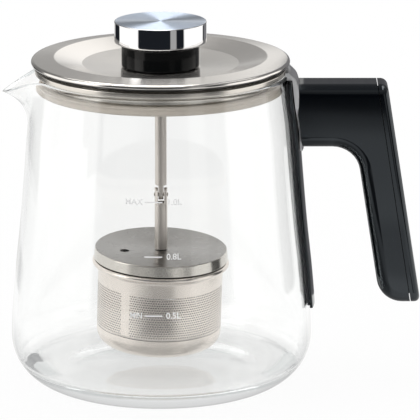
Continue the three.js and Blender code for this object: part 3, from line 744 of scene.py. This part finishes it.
COLLAR_BORE = 5.8
COLLAR_FOOT = 14.8
COLLAR_RADIUS = 16.6
COLLAR_LOW = 138.5
COLLAR_TOP = 150.9
neck_outline = rounded(
    [
        (COLLAR_BORE, COLLAR_LOW + 0.7, 0), (COLLAR_FOOT, COLLAR_LOW + 0.7, 0),
        (COLLAR_FOOT, COLLAR_LOW, 0.2), (COLLAR_RADIUS, COLLAR_LOW, 0.5), (COLLAR_RADIUS, 147.6, 0.8),
        (18.4, 148.5, 0.3), (17.7, 148.9, 0), (17.7, COLLAR_TOP, 0.2), (COLLAR_BORE, COLLAR_TOP, 0.2),
    ],
    steps=4,
)
knob_neck = turned("knob_collar", neck_outline, ring=True)
dress(knob_neck, "lifter", "black_plastic", knob_plastic, "knob_neck")

# %% [markdown]
# ## Rods and hinge
#
# The upper rod ends in a flat tongue, which hangs on a cross pin between the two ears of the lower tube. A
# plain box would make its edges square, so the tongue is a slimmer bar, cut flat on both sides with Bisect,
# which closes each cut, and joined to the rod and to its round end by Boolean.

# %% Rods
HINGE_HEIGHT = 82.0
ROD_RADIUS = 2.5
TUBE_RADIUS = 2.7
TONGUE_RADIUS = 2.2
TONGUE_HALF = 1.05
SHOULDER = 86.3
ROD_TOP = 150.2


def bar(name, radius, low, high, sides=ROD_SIDES, rounding=0.25):
    """A plain turned bar with softened ends."""
    corners = [(0, low, 0), (radius, low, rounding), (radius, high, rounding), (0, high, 0)]
    return turned(name, rounded(corners, steps=3), sides=sides)


def cross_bar(name, radius, low, high, height, sides=32):
    """A bar that lies along X."""
    piece = bar(name, radius, low, high, sides)
    lying = Matrix.Rotation(math.pi / 2, 4, "Y")
    piece.matrix_world = Matrix.Translation((0, 0, height * MM)) @ lying
    bpy.ops.object.transform_apply(location=True, rotation=True, scale=False)
    return piece


def cut(piece, cutter, operation="DIFFERENCE"):
    """Cuts a piece with another or joins them, and removes the other."""
    modify(piece, "BOOLEAN", object=cutter, operation=operation, solver="EXACT")
    bpy.data.objects.remove(cutter)


def slice_off(piece, point, outward):
    """Cuts away all that lies beyond a plane and closes the cut."""
    pick(piece)
    bpy.ops.object.mode_set(mode="EDIT")
    bpy.ops.mesh.select_all(action="SELECT")
    bpy.ops.mesh.bisect(plane_co=point, plane_no=outward, use_fill=True, clear_outer=True)
    close_up()
    return leave_edit(piece)


def block(name, size, centre):
    """A plain box for cutting with."""
    deselect()
    bpy.ops.mesh.primitive_cube_add(size=1)
    piece = bpy.context.object
    piece.name = name
    piece.scale = [length * MM for length in size]
    piece.location = [place * MM for place in centre]
    bpy.ops.object.transform_apply(location=True, rotation=False, scale=True)
    return piece


lift_rod = bar("lift_rod_bar", ROD_RADIUS, SHOULDER, ROD_TOP)
tongue = cross_bar("tongue_end", TONGUE_RADIUS, -TONGUE_HALF, TONGUE_HALF, HINGE_HEIGHT)
stem = bar("tongue_stem", TONGUE_RADIUS, HINGE_HEIGHT, SHOULDER + 2)
for side in (1, -1):
    slice_off(stem, (side * TONGUE_HALF * MM, 0, 0), (side, 0, 0))
cut(lift_rod, stem, "UNION")
cut(lift_rod, tongue, "UNION")
leave_edit(lift_rod)
dress(lift_rod, "lifter", "satin_steel", rod_steel, "lift_rod")

# %% [markdown]
# ### Lower tube
#
# The ears are what is left of a tube. Two thin plates would show a joint, so the bar is bored, its top is
# rounded by a block with a round hole in it, and a slot for the tongue is cut last.

# %% Lower tube and pin
TUBE_LOW = 58.0
TUBE_WALL = 0.6
EAR_RADIUS = 2.75
SLOT_WIDTH = 2.7
SLOT_DEPTH = 3.4
PIN_RADIUS = 0.8
PIN_HALF = 3.05
hanger = bar("hanger_tube", TUBE_RADIUS, TUBE_LOW, HINGE_HEIGHT + 3.1, rounding=0.1)
cut(hanger, bar("tube_bore", TUBE_RADIUS - TUBE_WALL, HINGE_HEIGHT - 6.0, HINGE_HEIGHT + 8, rounding=0))
ear_block = block("ear_block", (12, 12, 30), (0, 0, HINGE_HEIGHT + 15))
cut(ear_block, cross_bar("ear_round", EAR_RADIUS, -6, 6, HINGE_HEIGHT + 0.3))
cut(hanger, ear_block)
cut(hanger, block("tongue_slot", (SLOT_WIDTH, 12, 20), (0, 0, HINGE_HEIGHT - SLOT_DEPTH + 10)))
leave_edit(hanger)
dress(hanger, "hanger", "satin_steel", rod_steel, "hanger_fork")

hinge_pin = cross_bar("hinge_pin_bar", PIN_RADIUS, -PIN_HALF, PIN_HALF, HINGE_HEIGHT)
dress(hinge_pin, "hanger", "polished_steel", polished_steel, "hinge_pin")

# %% [markdown]
# ## Basket
#
# The infuser basket is a deep-drawn pan with a perforated sleeve and a rolled rim, under a satin lid. It
# hangs a little askew. Drawing tilted outlines would be hard, so everything is turned upright first and
# then tilted. Its heights count down from the middle of the lid's top.

# %% Basket tools
BASKET_SIDES = 144
LID_TOP = 58.8
TILT = (
    Matrix.Translation((0, 0, LID_TOP * MM))
    @ Matrix.Rotation(math.radians(3.0), 4, "X")
    @ Matrix.Rotation(math.radians(1.8), 4, "Y")
)


def tilted(piece):
    pick(piece)
    piece.matrix_world = TILT
    bpy.ops.object.transform_apply(location=True, rotation=True, scale=False)
    return piece


# %% Basket lid
VENT_RADIUS = 2.0
VENT_PLACE = (-15.5 * MM, -5.8 * MM, 0)
SKIRT_INSIDE = 27.0
cap_skin = rounded(
    [
        (2.2, -1.1, 0), (16.0, -0.35, 20), (28.35, 0.0, 0.6), (28.8, -4.7, 0.25), (28.1, -4.7, 0.2),
        (27.65, -0.85, 0.3), (2.2, -1.9, 0),
    ],
    steps=5,
)
basket_lid = turned("basket_cap", cap_skin, ring=True, sides=BASKET_SIDES)
vent = bar("vent_cutter", VENT_RADIUS, -5, 5, rounding=0)
vent.location = VENT_PLACE
bpy.ops.object.transform_apply(location=True, rotation=False, scale=False)
cut(basket_lid, vent)
leave_edit(basket_lid)
tilted(basket_lid)
dress(basket_lid, "hanger", "satin_steel", satin_steel, "basket_lid")
second_finish(
    basket_lid,
    polished_steel,
    lambda centre, normal: normal.z < 0.75 and math.hypot(centre.x, centre.y) > SKIRT_INSIDE,
)

ring_outline = rounded(
    [
        (25.1, -9.5, 0.2), (25.8, -9.5, 0.2), (25.8, -2.2, 0.6), (2.2, -2.2, 0), (2.2, -2.9, 0),
        (25.1, -2.9, 0.3),
    ],
    steps=3,
)
lid_ring = tilted(turned("plug_ring", ring_outline, ring=True))
# The whole ring gets the near-black steel, as painted shade in the gap between the basket lid's skirt and
# the sleeve's curl.
dress(lid_ring, "hanger", "satin_steel", painted_shade_steel, "lid_ring")

# %% [markdown]
# ### Sleeve
#
# The sleeve is a sheet with rows of fine holes between plain strips. A picture of holes would look flat, so
# they are real: staggered faces of the band are inset one by one and their middles are deleted, before the
# sheet gets its thickness.

# %% Perforated sleeve
SLEEVE_RADIUS = 26.8
SLEEVE_SHEET = 0.35
SLEEVE_SIDES = 320
BAND_ROWS = 36
SLEEVE_LOW = -33.85
BAND_LOW = -32.9
BAND_HIGH = -14.2
BLANK_STRIPS = (-33.0, 87.0, 207.0)
BLANK_HALF = 4.6
HOLE_MARGIN = 0.01
INSIDE_LOW = LID_TOP - 12
INSIDE_REACH = 18.0

band_heights = [SLEEVE_LOW] + steps_between(BAND_LOW, BAND_HIGH, BAND_ROWS)
band = [Vector((SLEEVE_RADIUS, z)) for z in band_heights]
neck = rounded([(SLEEVE_RADIUS, -14.0, 0), (SLEEVE_RADIUS, -8.9, 1.2), (27.6, -7.3, 0)], steps=4)
curl = arc((28.2, -6.4), 0.85, 215, -120, 14)
sleeve = turned("basket_sleeve", band + neck + curl, sides=SLEEVE_SIDES)


def in_band(face):
    """True for a face that gets a hole: every second one, staggered, and not on a blank strip."""
    place = face.center / MM
    row = math.floor((place.z - BAND_LOW) / (BAND_HIGH - BAND_LOW) * BAND_ROWS)
    turn = math.degrees(math.atan2(place.x, -place.y))
    column = math.floor((turn + 360) / 360 * SLEEVE_SIDES)
    if not BAND_LOW < place.z < BAND_HIGH or row % 2 or (column + row // 2) % 2:
        return False
    return all(abs((turn - strip + 180) % 360 - 180) > BLANK_HALF for strip in BLANK_STRIPS)


pick(sleeve)
outward = sum(face.normal.dot(face.center) for face in sleeve.data.polygons if in_band(face))
bpy.ops.object.mode_set(mode="EDIT")
if outward < 0:
    bpy.ops.mesh.flip_normals()
bpy.ops.mesh.select_all(action="DESELECT")
bpy.ops.mesh.select_mode(type="FACE")
bpy.ops.object.mode_set(mode="OBJECT")
for face in sleeve.data.polygons:
    face.select = in_band(face)
holes = sum(face.select for face in sleeve.data.polygons)
bpy.ops.object.mode_set(mode="EDIT")
bpy.ops.mesh.inset(thickness=HOLE_MARGIN * MM, use_individual=True, use_even_offset=True)
bpy.ops.mesh.delete(type="FACE")
leave_edit(sleeve)
modify(sleeve, "SOLIDIFY", thickness=SLEEVE_SHEET * MM, offset=-1)
tilted(sleeve)
dress(sleeve, "basket", "satin_steel", basket_steel, "basket_wall")


def inside_sleeve(centre, normal):
    """True for the inner wall and the rims of the holes."""
    return centre.z < INSIDE_LOW and normal.x * centre.x + normal.y * centre.y < INSIDE_REACH


# The inner wall and the rims of the holes get the near-black steel as painted shade.
second_finish(sleeve, painted_shade_steel, inside_sleeve)
print(holes, "holes in the sleeve")

# %% [markdown]
# ### Pan
#
# The pan is drawn from one sheet, with a wide rounding below and a step at its top that plugs into the
# sleeve. It is turned as a closed outline of both faces, because the step makes its thickness change.

# %% Basket pan
PAN_LOW = -43.0
PAN_CORNER = 6.5
PAN_WALL = 0.7
PAN_SEAM = -34.0
PAN_TOP = -32.5
STEP_OUTSIDE = 25.8
STEP_INSIDE = 25.2
STEP_LOW = PAN_SEAM - PAN_WALL
pan_middle = (SLEEVE_RADIUS - PAN_CORNER, PAN_LOW + PAN_CORNER)
seam = [(SLEEVE_RADIUS, -35.0, 0), (SLEEVE_RADIUS, PAN_SEAM, 0.15)]
step_out = [(STEP_OUTSIDE, PAN_SEAM, 0), (STEP_OUTSIDE, PAN_TOP, 0.1)]
step_in = [(STEP_INSIDE, PAN_TOP, 0.1), (STEP_INSIDE, STEP_LOW, 0), (SLEEVE_RADIUS - PAN_WALL, STEP_LOW, 0)]
pan_outline = (
    [Vector((0, PAN_LOW))]
    + arc(pan_middle, PAN_CORNER, -90, 0, 14)
    + rounded(seam + step_out, 3)
    + rounded(step_in, 3)
    + arc(pan_middle, PAN_CORNER - PAN_WALL, 0, -90, 14)
    + [Vector((0, PAN_LOW + PAN_WALL))]
)
basket_pan = tilted(turned("basket_bottom", pan_outline, sides=BASKET_SIDES))
dress(basket_pan, "basket", "satin_steel", basket_steel, "basket_pan")
# Faces that look inwards get the near-black steel as painted shade inside the pan.
second_finish(basket_pan, painted_shade_steel, lambda centre, normal: centre.dot(normal) - LID_TOP * normal.z < 0)

# %% [markdown]
# ## Handle
#
# The handle has a casing with a wide arm and a grip that leans outwards and ends free, a back cover, and a
# strip that lies along the glass. A subdivided box would blur its flat sides, so the casing starts as its
# side outline, is extruded to its width and gets its large edge rounding by Bevel. Its root is cut with a
# turned copy of the glass, so it fits the jug all over.

# %% Handle outline
HANDLE_WIDTH = 21.0
ARM_TOP = 131.6
ARM_LOW = 104.4
GRIP_LOW = 36.0
GRIP_TOP_REACH = 96.3
GRIP_DEPTH = 17.3
GRIP_SLOPE = 0.157
SEAM_INSET = 4.4
ARM_START = 50.0
BACK_EXCESS = 12
THROAT_ROUNDING = 12
END_ROUNDING = 11
SIDE_ROUNDING = 5.0


def grip_reach(height):
    return GRIP_TOP_REACH + (ARM_TOP - height) * GRIP_SLOPE


def plate(name, outline, width):
    """A flat piece in X and Z, extruded along Y about the middle plane."""
    piece = first_point(name)
    points = [Vector((across, -width / 2, up)) * MM for across, up in outline]
    draw(points + points[:1])
    bpy.ops.mesh.select_all(action="SELECT")
    bpy.ops.mesh.remove_doubles(threshold=MERGE)
    bpy.ops.mesh.edge_face_add()
    bpy.ops.mesh.extrude_region_move(TRANSFORM_OT_translate={"value": (0, width * MM, 0)})
    close_up()
    return leave_edit(piece)


def soften(piece, planes, offset, segments):
    """Bevels all edges that lie in one of the planes, each given by a point and its normal."""
    pick(piece)
    bpy.ops.object.mode_set(mode="EDIT")
    bpy.ops.mesh.select_mode(type="EDGE")
    bpy.ops.mesh.select_all(action="DESELECT")
    bpy.ops.object.mode_set(mode="OBJECT")
    for point, normal in planes:
        flat = [abs((vertex.co - Vector(point)).dot(normal)) < MERGE for vertex in piece.data.vertices]
        for edge in piece.data.edges:
            edge.select = edge.select or all(flat[i] for i in edge.vertices)
    bpy.ops.object.mode_set(mode="EDIT")
    bpy.ops.mesh.bevel(offset=offset * MM, segments=segments, affect="EDGES", clamp_overlap=False)
    close_up()
    return leave_edit(piece)


def casing_body(name):
    """Grip and arm in one, longer at the back than needed, with the large rounding along both sides."""
    outline = rounded(
        [
            (ARM_START, ARM_LOW, 0), (grip_reach(ARM_LOW) - GRIP_DEPTH, ARM_LOW, THROAT_ROUNDING),
            (grip_reach(GRIP_LOW) - GRIP_DEPTH, GRIP_LOW, END_ROUNDING),
            (grip_reach(GRIP_LOW) + BACK_EXCESS, GRIP_LOW, 0),
            (grip_reach(ARM_TOP) + BACK_EXCESS, ARM_TOP, 0), (ARM_START, ARM_TOP, 0),
        ],
        steps=8,
    )
    piece = plate(name, outline, HANDLE_WIDTH)
    half = HANDLE_WIDTH / 2 * MM
    sides = [((0, side * half, 0), Vector((0, 1, 0))) for side in (1, -1)]
    return soften(piece, sides, SIDE_ROUNDING, 7)


print("grip leans from", round(grip_reach(ARM_TOP), 1), "to", round(grip_reach(GRIP_LOW), 1), "mm")

# %% [markdown]
# ### Casing and back cover
#
# Casing and cover are one moulding on the outside, parted by a thin seam. Two shapes drawn apart would
# never meet so well, so both start as the same body, and each is sliced by the plane of the seam.

# %% Casing and cover
ROOT_OFFSET = 3.1 + 0.3
ROOT_LOW = 90
ROOT_HIGH = 150
BULGE = 1.3
BULGE_LOW = 119.5
BULGE_HIGH = 139.5
SEAM_GAP = 0.3
BACK_ROUNDING = 2.6


def root_bulge(height):
    """How much further out the arm's root sits at a height. It bares a crescent of the bracket."""
    share = (height - BULGE_LOW) / (BULGE_HIGH - BULGE_LOW)
    return BULGE * math.sin(math.pi * share) ** 0.7 if 0 < share < 1 else 0


back_normal = Vector((1, 0, GRIP_SLOPE)).normalized()
back_point = Vector((GRIP_TOP_REACH * MM, 0, ARM_TOP * MM))
seam_point = back_point - Vector((SEAM_INSET * MM, 0, 0))
casing = casing_body("handle_casing")
slice_off(casing, seam_point, back_normal)
root_wall = [
    Vector((glass_radius(z) + ROOT_OFFSET + root_bulge(z), z)) for z in steps_between(ROOT_LOW, ARM_TOP, 40)
]
root_top = [Vector((NECK_RADIUS + ROOT_OFFSET + BULGE, ROOT_HIGH)), Vector((0, ROOT_HIGH))]
cut(casing, turned("root_cutter", [Vector((0, ROOT_LOW))] + root_wall + root_top, sides=240))
leave_edit(casing)
dress(casing, "jug", "black_plastic", black_plastic, "handle_shell")

cover = casing_body("handle_back")
slice_off(cover, seam_point + back_normal * SEAM_GAP * MM, -back_normal)
slice_off(cover, back_point, back_normal)
soften(cover, [(back_point, back_normal)], BACK_ROUNDING, 5)
dress(cover, "jug", "black_plastic", black_plastic, "handle_cover")

# %% [markdown]
# ### Strip and pad
#
# A black strip and the soft pad under it lie along the glass. Bending a flat strip by hand would leave
# gaps, so a grid is thrown onto a very finely turned copy of the glass by Shrinkwrap and then gets its
# thickness. The copy is taken away afterwards.

# %% Strip and pad on the glass
LEG_LOW = 34.5
LEG_TOP = 133.8
PAD_MARGIN = 1.2
STRIP_START = 90
strip_former = turned("strip_former", beside_wall(LEG_LOW - 4, RIM_HEIGHT, 160), sides=720)


def glass_strip(name, low, high, width, lift, thickness, corner):
    """A strip that follows the glass on the handle side."""
    deselect()
    bpy.ops.mesh.primitive_grid_add(x_subdivisions=16, y_subdivisions=60, size=MM)
    piece = bpy.context.object
    piece.name = piece.data.name = name
    piece.matrix_world = (
        Matrix.Translation((STRIP_START * MM, 0, (low + high) / 2 * MM))
        @ Matrix.Rotation(math.pi / 2, 4, "Z")
        @ Matrix.Rotation(math.pi / 2, 4, "X")
        @ Matrix.Diagonal((width, high - low, 1, 1))
    )
    bpy.ops.object.transform_apply(location=True, rotation=True, scale=True)
    modify(
        piece,
        "SHRINKWRAP",
        target=strip_former,
        wrap_method="PROJECT",
        use_project_x=True,
        use_positive_direction=False,
        use_negative_direction=True,
        offset=lift * MM,
        wrap_mode="ABOVE_SURFACE",
    )
    modify(piece, "SOLIDIFY", thickness=thickness * MM, offset=1)
    modify(piece, "BEVEL", width=corner * MM, segments=3, limit_method="ANGLE", angle_limit=math.radians(60))
    return leave_edit(piece)


leg = glass_strip("handle_strip", LEG_LOW, LEG_TOP, width=24.0, lift=1.0, thickness=1.3, corner=0.35)
dress(leg, "jug", "black_plastic", black_plastic, "handle_leg")
pad_span = (LEG_LOW + PAD_MARGIN, LEG_TOP - PAD_MARGIN)
pad = glass_strip("handle_strip_pad", *pad_span, width=23.6, lift=0.08, thickness=0.86, corner=0.1)
dress(pad, "jug", "dark_silicone", dark_silicone, "leg_pad")
bpy.data.objects.remove(strip_former)

# %% [markdown]
# ### Bracket
#
# A steel bracket joins strip and arm and hooks over the rim of the glass. It follows the round jug, so it
# is a short spin of its outline and not a flat plate. Its sides are sliced straight, and a round scallop is
# cut from each of them.

# %% Bracket
BRACKET_FACE = 3.5
BRACKET_BACK = 2.6
EDGE_TURN = 0.7
BRACKET_WIDTH = 21.0
BRACKET_TURN = math.radians(14)
SCALLOP_RADIUS = 20.0
SCALLOP_HEIGHT = 113.5
SCALLOP_DEPTH = 2.0
bracket_corners = (
    [
        (glass_radius(z) + BRACKET_FACE + root_bulge(z), z, 0)
        for z in (103.5, 110, 119.5, 120.5, 122, 124, 126.5, 129)
    ]
    + [(59.1, 131.6, 1), (58.2, 134.4, 1.5), (55.4, 137.2, 0.8), (53.8, 137.2, 0.1), (53.8, 135.6, 0)]
    + [(54.5, 135.6, 0), (54.5, 134.1, 0), (56.8, 134.1, 0)]
    + [(glass_radius(z) + BRACKET_BACK, z, 0) for z in (120, 110, 103.5)]
)


def bracket_piece():
    piece = first_point("handle_shoulder")
    outline = rounded(bracket_corners, steps=4)
    points = [
        Vector((across * math.cos(BRACKET_TURN), -across * math.sin(BRACKET_TURN), up)) * MM
        for across, up in outline
    ]
    draw(points + points[:1])
    bpy.ops.mesh.select_all(action="SELECT")
    bpy.ops.mesh.spin(steps=28, angle=-2 * BRACKET_TURN, center=(0, 0, 0), axis=(0, 0, 1))
    close_up()
    leave_edit(piece)
    for side in (1, -1):
        slice_off(piece, (0, side * BRACKET_WIDTH / 2 * MM, 0), (0, side, 0))
    for side in (1, -1):
        scallop = cross_bar("scallop", SCALLOP_RADIUS, 40, 80, SCALLOP_HEIGHT, sides=96)
        scallop.location = (0, side * (BRACKET_WIDTH / 2 + SCALLOP_RADIUS - SCALLOP_DEPTH) * MM, 0)
        bpy.ops.object.transform_apply(location=True, rotation=False, scale=False)
        cut(piece, scallop)
    return leave_edit(piece)


bracket = bracket_piece()
print("bracket from y", round(min(v.co.y for v in bracket.data.vertices) / MM, 1))
dress(bracket, "jug", "polished_steel", bracket_steel, "handle_bracket")
# The cut sides get the paler edge steel as a painted highlight, so they read as light crescents between
# strip and arm.
second_finish(bracket, edge_highlight_steel, lambda centre, normal: abs(normal.y) > EDGE_TURN)

# %% [markdown]
# ## Hidden pieces
#
# Screws, nuts, the insert and the core stay as the CAD gives them and get a finish with its own detail.

# %% Finishes of the CAD nodes that stay
KEPT = {
    # The core gets the near-black steel as painted shade, so the seam between casing and cover reads dark.
    "handle_core": painted_shade_steel,
    "bracket_screw_lower": polished_steel,
    "bracket_screw_upper": polished_steel,
    "bush_nut": satin_steel,
    "knob_pad": dark_silicone,
    "knob_insert": turned_brass,
    "knob_screw": polished_steel,
    "hanger_nut": polished_steel,
}
for name, finish in KEPT.items():
    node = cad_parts[name]
    node.data.materials.clear()
    node.data.materials.append(finish)
print(len(KEPT), "CAD nodes finished")

# %% [markdown]
# ## Floor
#
# The photograph is a cut-out product picture, white all round, with a soft shadow under the glass. A white
# box would do for the camera, but metal would turn white in it. So the floor's finish asks which ray has
# come. Seen straight on or through glass it is nearly white paper. In metal it is a white table that ends,
# with darker places on it that draw the dark lines on the lid's band, on the rods and on the basket.

# %% Floor
FLOOR_DROP = 0.05
FLOOR_SIZE = 8
PAPER = (0.80, 0.80, 0.80)
deselect()
bpy.ops.mesh.primitive_plane_add(size=FLOOR_SIZE, location=(0, 0, -FLOOR_DROP * MM))
floor = bpy.context.object
floor.name = "studio_floor"
paper = new_finish("pale_paper")
place = paper.coordinates()
aside, ahead, _ = paper.axes(place)
reach = paper.node("ShaderNodeVectorMath", {"operation": "LENGTH"}, {0: place}, output=1)
sideways = paper.size_of(aside)
slant = aside / reach
print("floor at", -FLOOR_DROP, "mm")

# %% Floor that the camera sees
FIBRES = 900.0
FIBRE_DEPTH = 0.05
FAR_PAPER = (0.16, 0.45)
far = paper.smooth_step(reach, *FAR_PAPER)
# Seen through glass, the paper near the foot glows only at 0.85 and lets more of its lit part show: a
# painted shadow under the jug, added to the real one.
rise = paper.smooth_step(reach, 0.04, 0.095)
fibre = paper.bump(paper.noise(place, FIBRES), 0.05, FIBRE_DEPTH * MM)
plain = paper.node("ShaderNodeBsdfDiffuse", {}, {"Color": (*PAPER, 1), "Normal": fibre})
white = paper.glow(WHITE, 1.0)
dim = paper.glow(WHITE, 0.85)
through = paper.ray("Is Transmission Ray")
bright = paper.ray("Is Camera Ray") * (0.95 + 0.05 * far) + through * (0.60 + 0.40 * rise)
lit_paper = paper.mix(bright, plain, paper.mix(through * (1 - rise), white, dim))
print("paper is white past", FAR_PAPER[1], "m")

# %% Floor that metal sees
MIDDLE_LEVEL = 0.50
FOOT_LEVEL = 0.40
RING_DEPTH = 0.88
ROD_SIDE_DEPTH = 0.75
BESIDE_GLOW = 0.7
TABLE_EDGE = (0.532, 0.544)
under_jug = 1 - paper.smooth_step(reach, 0.055, 0.075)
in_front = paper.smooth_step(-1 * ahead, 0.08, 0.10) + 0.5 * under_jug
via_metal = paper.smooth_step(paper.ray("Glossy Depth"), 0.4, 0.6) * in_front
mirrored = paper.larger(paper.ray("Is Glossy Ray") * (1 - through), via_metal)
table_end = 1 - paper.smooth_step(reach, *TABLE_EDGE)
paler = 1 - 0.30 * paper.smooth_step(reach, 0.15, 0.45) - 0.33 * paper.smooth_step(reach, 0.485, 0.515)
off_middle = MIDDLE_LEVEL + (1 - MIDDLE_LEVEL) * paper.smooth_step(sideways, 0.03, 0.12)
shade = off_middle * (FOOT_LEVEL + (1 - FOOT_LEVEL) * paper.smooth_step(reach, 0.10, 0.17))
ring = paper.band(reach, (0.205, 0.225), (0.29, 0.33))
shade = shade * (1 - RING_DEPTH * ring * (1 - paper.smooth_step(sideways / reach, 0.70, 0.84)))
rod_side = paper.band(slant, (0.10, 0.16), (0.42, 0.50)) * paper.smooth_step(ahead, 0.10, 0.16)
shade = shade * (1 - ROD_SIDE_DEPTH * rod_side * paper.smooth_step(reach, 0.22, 0.26))
beside = paper.band(aside, (0.070, 0.088), (0.125, 0.150)) * paper.smooth_step(-1 * ahead, 0.0, 0.04)
shade = shade + (1 - shade) * BESIDE_GLOW * beside
gap = paper.node("ShaderNodeBsdfTransparent")
metal_view = paper.mix(table_end * paler * shade, gap, white)
floor.data.materials.append(paper.finish(paper.mix(mirrored, lit_paper, metal_view)))
print("in metal the table ends at", TABLE_EDGE[1], "m")

# %% [markdown]
# ## Room
#
# Chrome and steel look like what stands round them. Here that is a dark room with white cards to the left
# and right, a pale wall behind and a ceiling. Real cards round the object would do as well, but they would
# have to be hidden from the camera, and the world is simpler to draw. Its direction's three parts get soft
# edges with the same step as the floor's. Seen straight on or through glass the world is white.

# %% Room in which metal stands
CEILING_FRONT = 0.12
HORIZON_LIGHT = 0.15
BELOW_LIGHT = 0.6
STRIPE_LIGHT = 0.32
TABLE_LIGHT = 0.12
world = bpy.data.worlds.new("studio")
bpy.context.scene.world = world
room = Nodes(world)
right, back, up = room.axes(room.node("ShaderNodeTexCoord", output="Generated"))
off_axis = room.size_of(right)
level = 1 - room.smooth_step(up, 0.30, 0.50)
far_ceiling = CEILING_FRONT + (1 - CEILING_FRONT) * room.smooth_step(back, 0.20, 0.40)
overhead = room.smooth_step(up, 0.64, 0.72) * far_ceiling
left_card = room.smooth_step(-1 * right, 0.80, 0.84) * level
right_card = room.smooth_step(right + 0.13 * room.smooth_step(back, 0.0, 0.3), 0.84, 0.88) * level
fade = 0.15 + 0.29 * room.smooth_step(right, -0.12, 0.04) + 0.80 * room.smooth_step(right, 0.03, 0.12)
back_wall = room.band(up, (0.0, 0.14), (0.60, 0.70)) * (1 - room.smooth_step(off_axis, 0.24, 0.36))
behind = room.smooth_step(back, 0.70, 0.80) * back_wall * fade
far_back = room.smooth_step(back, 0.84, 0.92)
horizon = far_back * room.band(up, (0.0, 0.05), (0.10, 0.18)) * HORIZON_LIGHT
below = far_back * (1 - room.smooth_step(up, -0.18, -0.10)) * BELOW_LIGHT
front = room.smooth_step(-1 * back, 0.20, 0.35) * level
stripe = room.band(right, (0.40, 0.44), (0.62, 0.66)) * front * STRIPE_LIGHT
table = room.smooth_step(-1 * up, 0.35, 0.55) * TABLE_LIGHT
light = overhead + left_card + right_card + behind + horizon + below + stripe + table
light = room.node("ShaderNodeClamp", {}, {0: light})
print("world", world.name)

# %% Which ray sees which room
AIR = "ShaderNodeBackground"
WALL_LEVEL = 0.76
side_walls = (1 - front) * room.smooth_step(up, -0.12, 0.0)
dark_room = room.glow((0.012, 0.014, 0.018), 1.0, AIR)
side_room = room.glow((0.19, 0.19, 0.19), 1.0, AIR)
bright_room = room.glow((1.0, 0.99, 0.975), 1.22, AIR)
studio = room.mix(light, room.mix(side_walls, dark_room, side_room), bright_room)
open_sky = room.glow(WHITE, 1.0, AIR)
side_light = room.ray("Is Diffuse Ray") * (room.smooth_step(off_axis, 0.45, 0.90) - 0.38)
walls = room.glow(WHITE, WALL_LEVEL + side_light, AIR)
bounces = room.ray("Glossy Depth")
after_mirror = room.smooth_step(bounces, 0.4, 0.6)
few_mirrors = after_mirror * (1 - room.smooth_step(bounces, MOST_MIRRORS + 0.4, MOST_MIRRORS + 0.6))
onward = room.larger(1 - after_mirror, room.smooth_step(back, 0.10, 0.25))
straight = room.ray("Is Camera Ray") + room.ray("Is Transmission Ray") * onward
soft = room.mix(few_mirrors, walls, studio)
room.finish(room.mix(straight, soft, open_sky), "ShaderNodeOutputWorld")
print("matt surfaces see walls of strength", WALL_LEVEL)

# %% [markdown]
# ## Lamps
#
# Two large softboxes, one overhead and one at the left, give soft shadows. Point lamps would draw hard ones
# and small hot spots on the steel.

# %% Lamps
LAMP_TARGET = Vector((0, 0, 0.08))


def softbox(name, place, size, power):
    lamp = bpy.data.lights.new(name, "AREA")
    lamp.shape = "RECTANGLE"
    lamp.size, lamp.size_y = size
    lamp.energy = power
    holder = bpy.data.objects.new(name, lamp)
    holder.location = place
    direction = LAMP_TARGET - Vector(place)
    holder.rotation_euler = direction.to_track_quat("-Z", "Y").to_euler()
    bpy.context.scene.collection.objects.link(holder)


softbox("top_box", place=(0.0, 0.1, 1.6), size=(1.6, 1.2), power=16)
softbox("left_box", place=(-1.5, -0.6, 0.9), size=(0.9, 1.4), power=6)
print("two softboxes")

# %% [markdown]
# ## Grey cards
#
# A photographer puts grey card beside black plastic, so that its rounded edges show as soft light lines.
# Lamps would do that too, but they would light the glass as well. Two cards stand behind and above the
# handle here, and their finish lets through every ray but a mirrored one.

# %% Grey cards round the handle
felt = new_finish("grey_felt")
nap = felt.noise(felt.coordinates(), 40.0)
felt_tint = felt.colour_between(nap, (0.17, 0.17, 0.18), (0.21, 0.21, 0.22))
felt_light = felt.node("ShaderNodeEmission", {}, {"Color": felt_tint, "Strength": 1.0})
felt_view = felt.ray("Is Glossy Ray") * (1 - felt.ray("Is Transmission Ray"))
felt.finish(felt.mix(felt_view, felt.node("ShaderNodeBsdfTransparent"), felt_light))


def grey_card(name, place, turn, size):
    """A card that only metal and plastic mirror."""
    deselect()
    bpy.ops.mesh.primitive_plane_add(size=1, location=place, rotation=(turn, 0, 0))
    card = bpy.context.object
    card.name = name
    card.scale = (*size, 1)
    card.data.materials.append(felt.owner)
    for ray in ("camera", "diffuse", "transmission", "volume_scatter", "shadow"):
        setattr(card, "visible_" + ray, False)


grey_card("card_behind", place=(0.107, 0.14, 0.2), turn=math.pi / 2, size=(0.086, 0.4))
grey_card("card_above", place=(0.107, 0.0, 0.4), turn=0, size=(0.086, 0.28))
print("two cards")
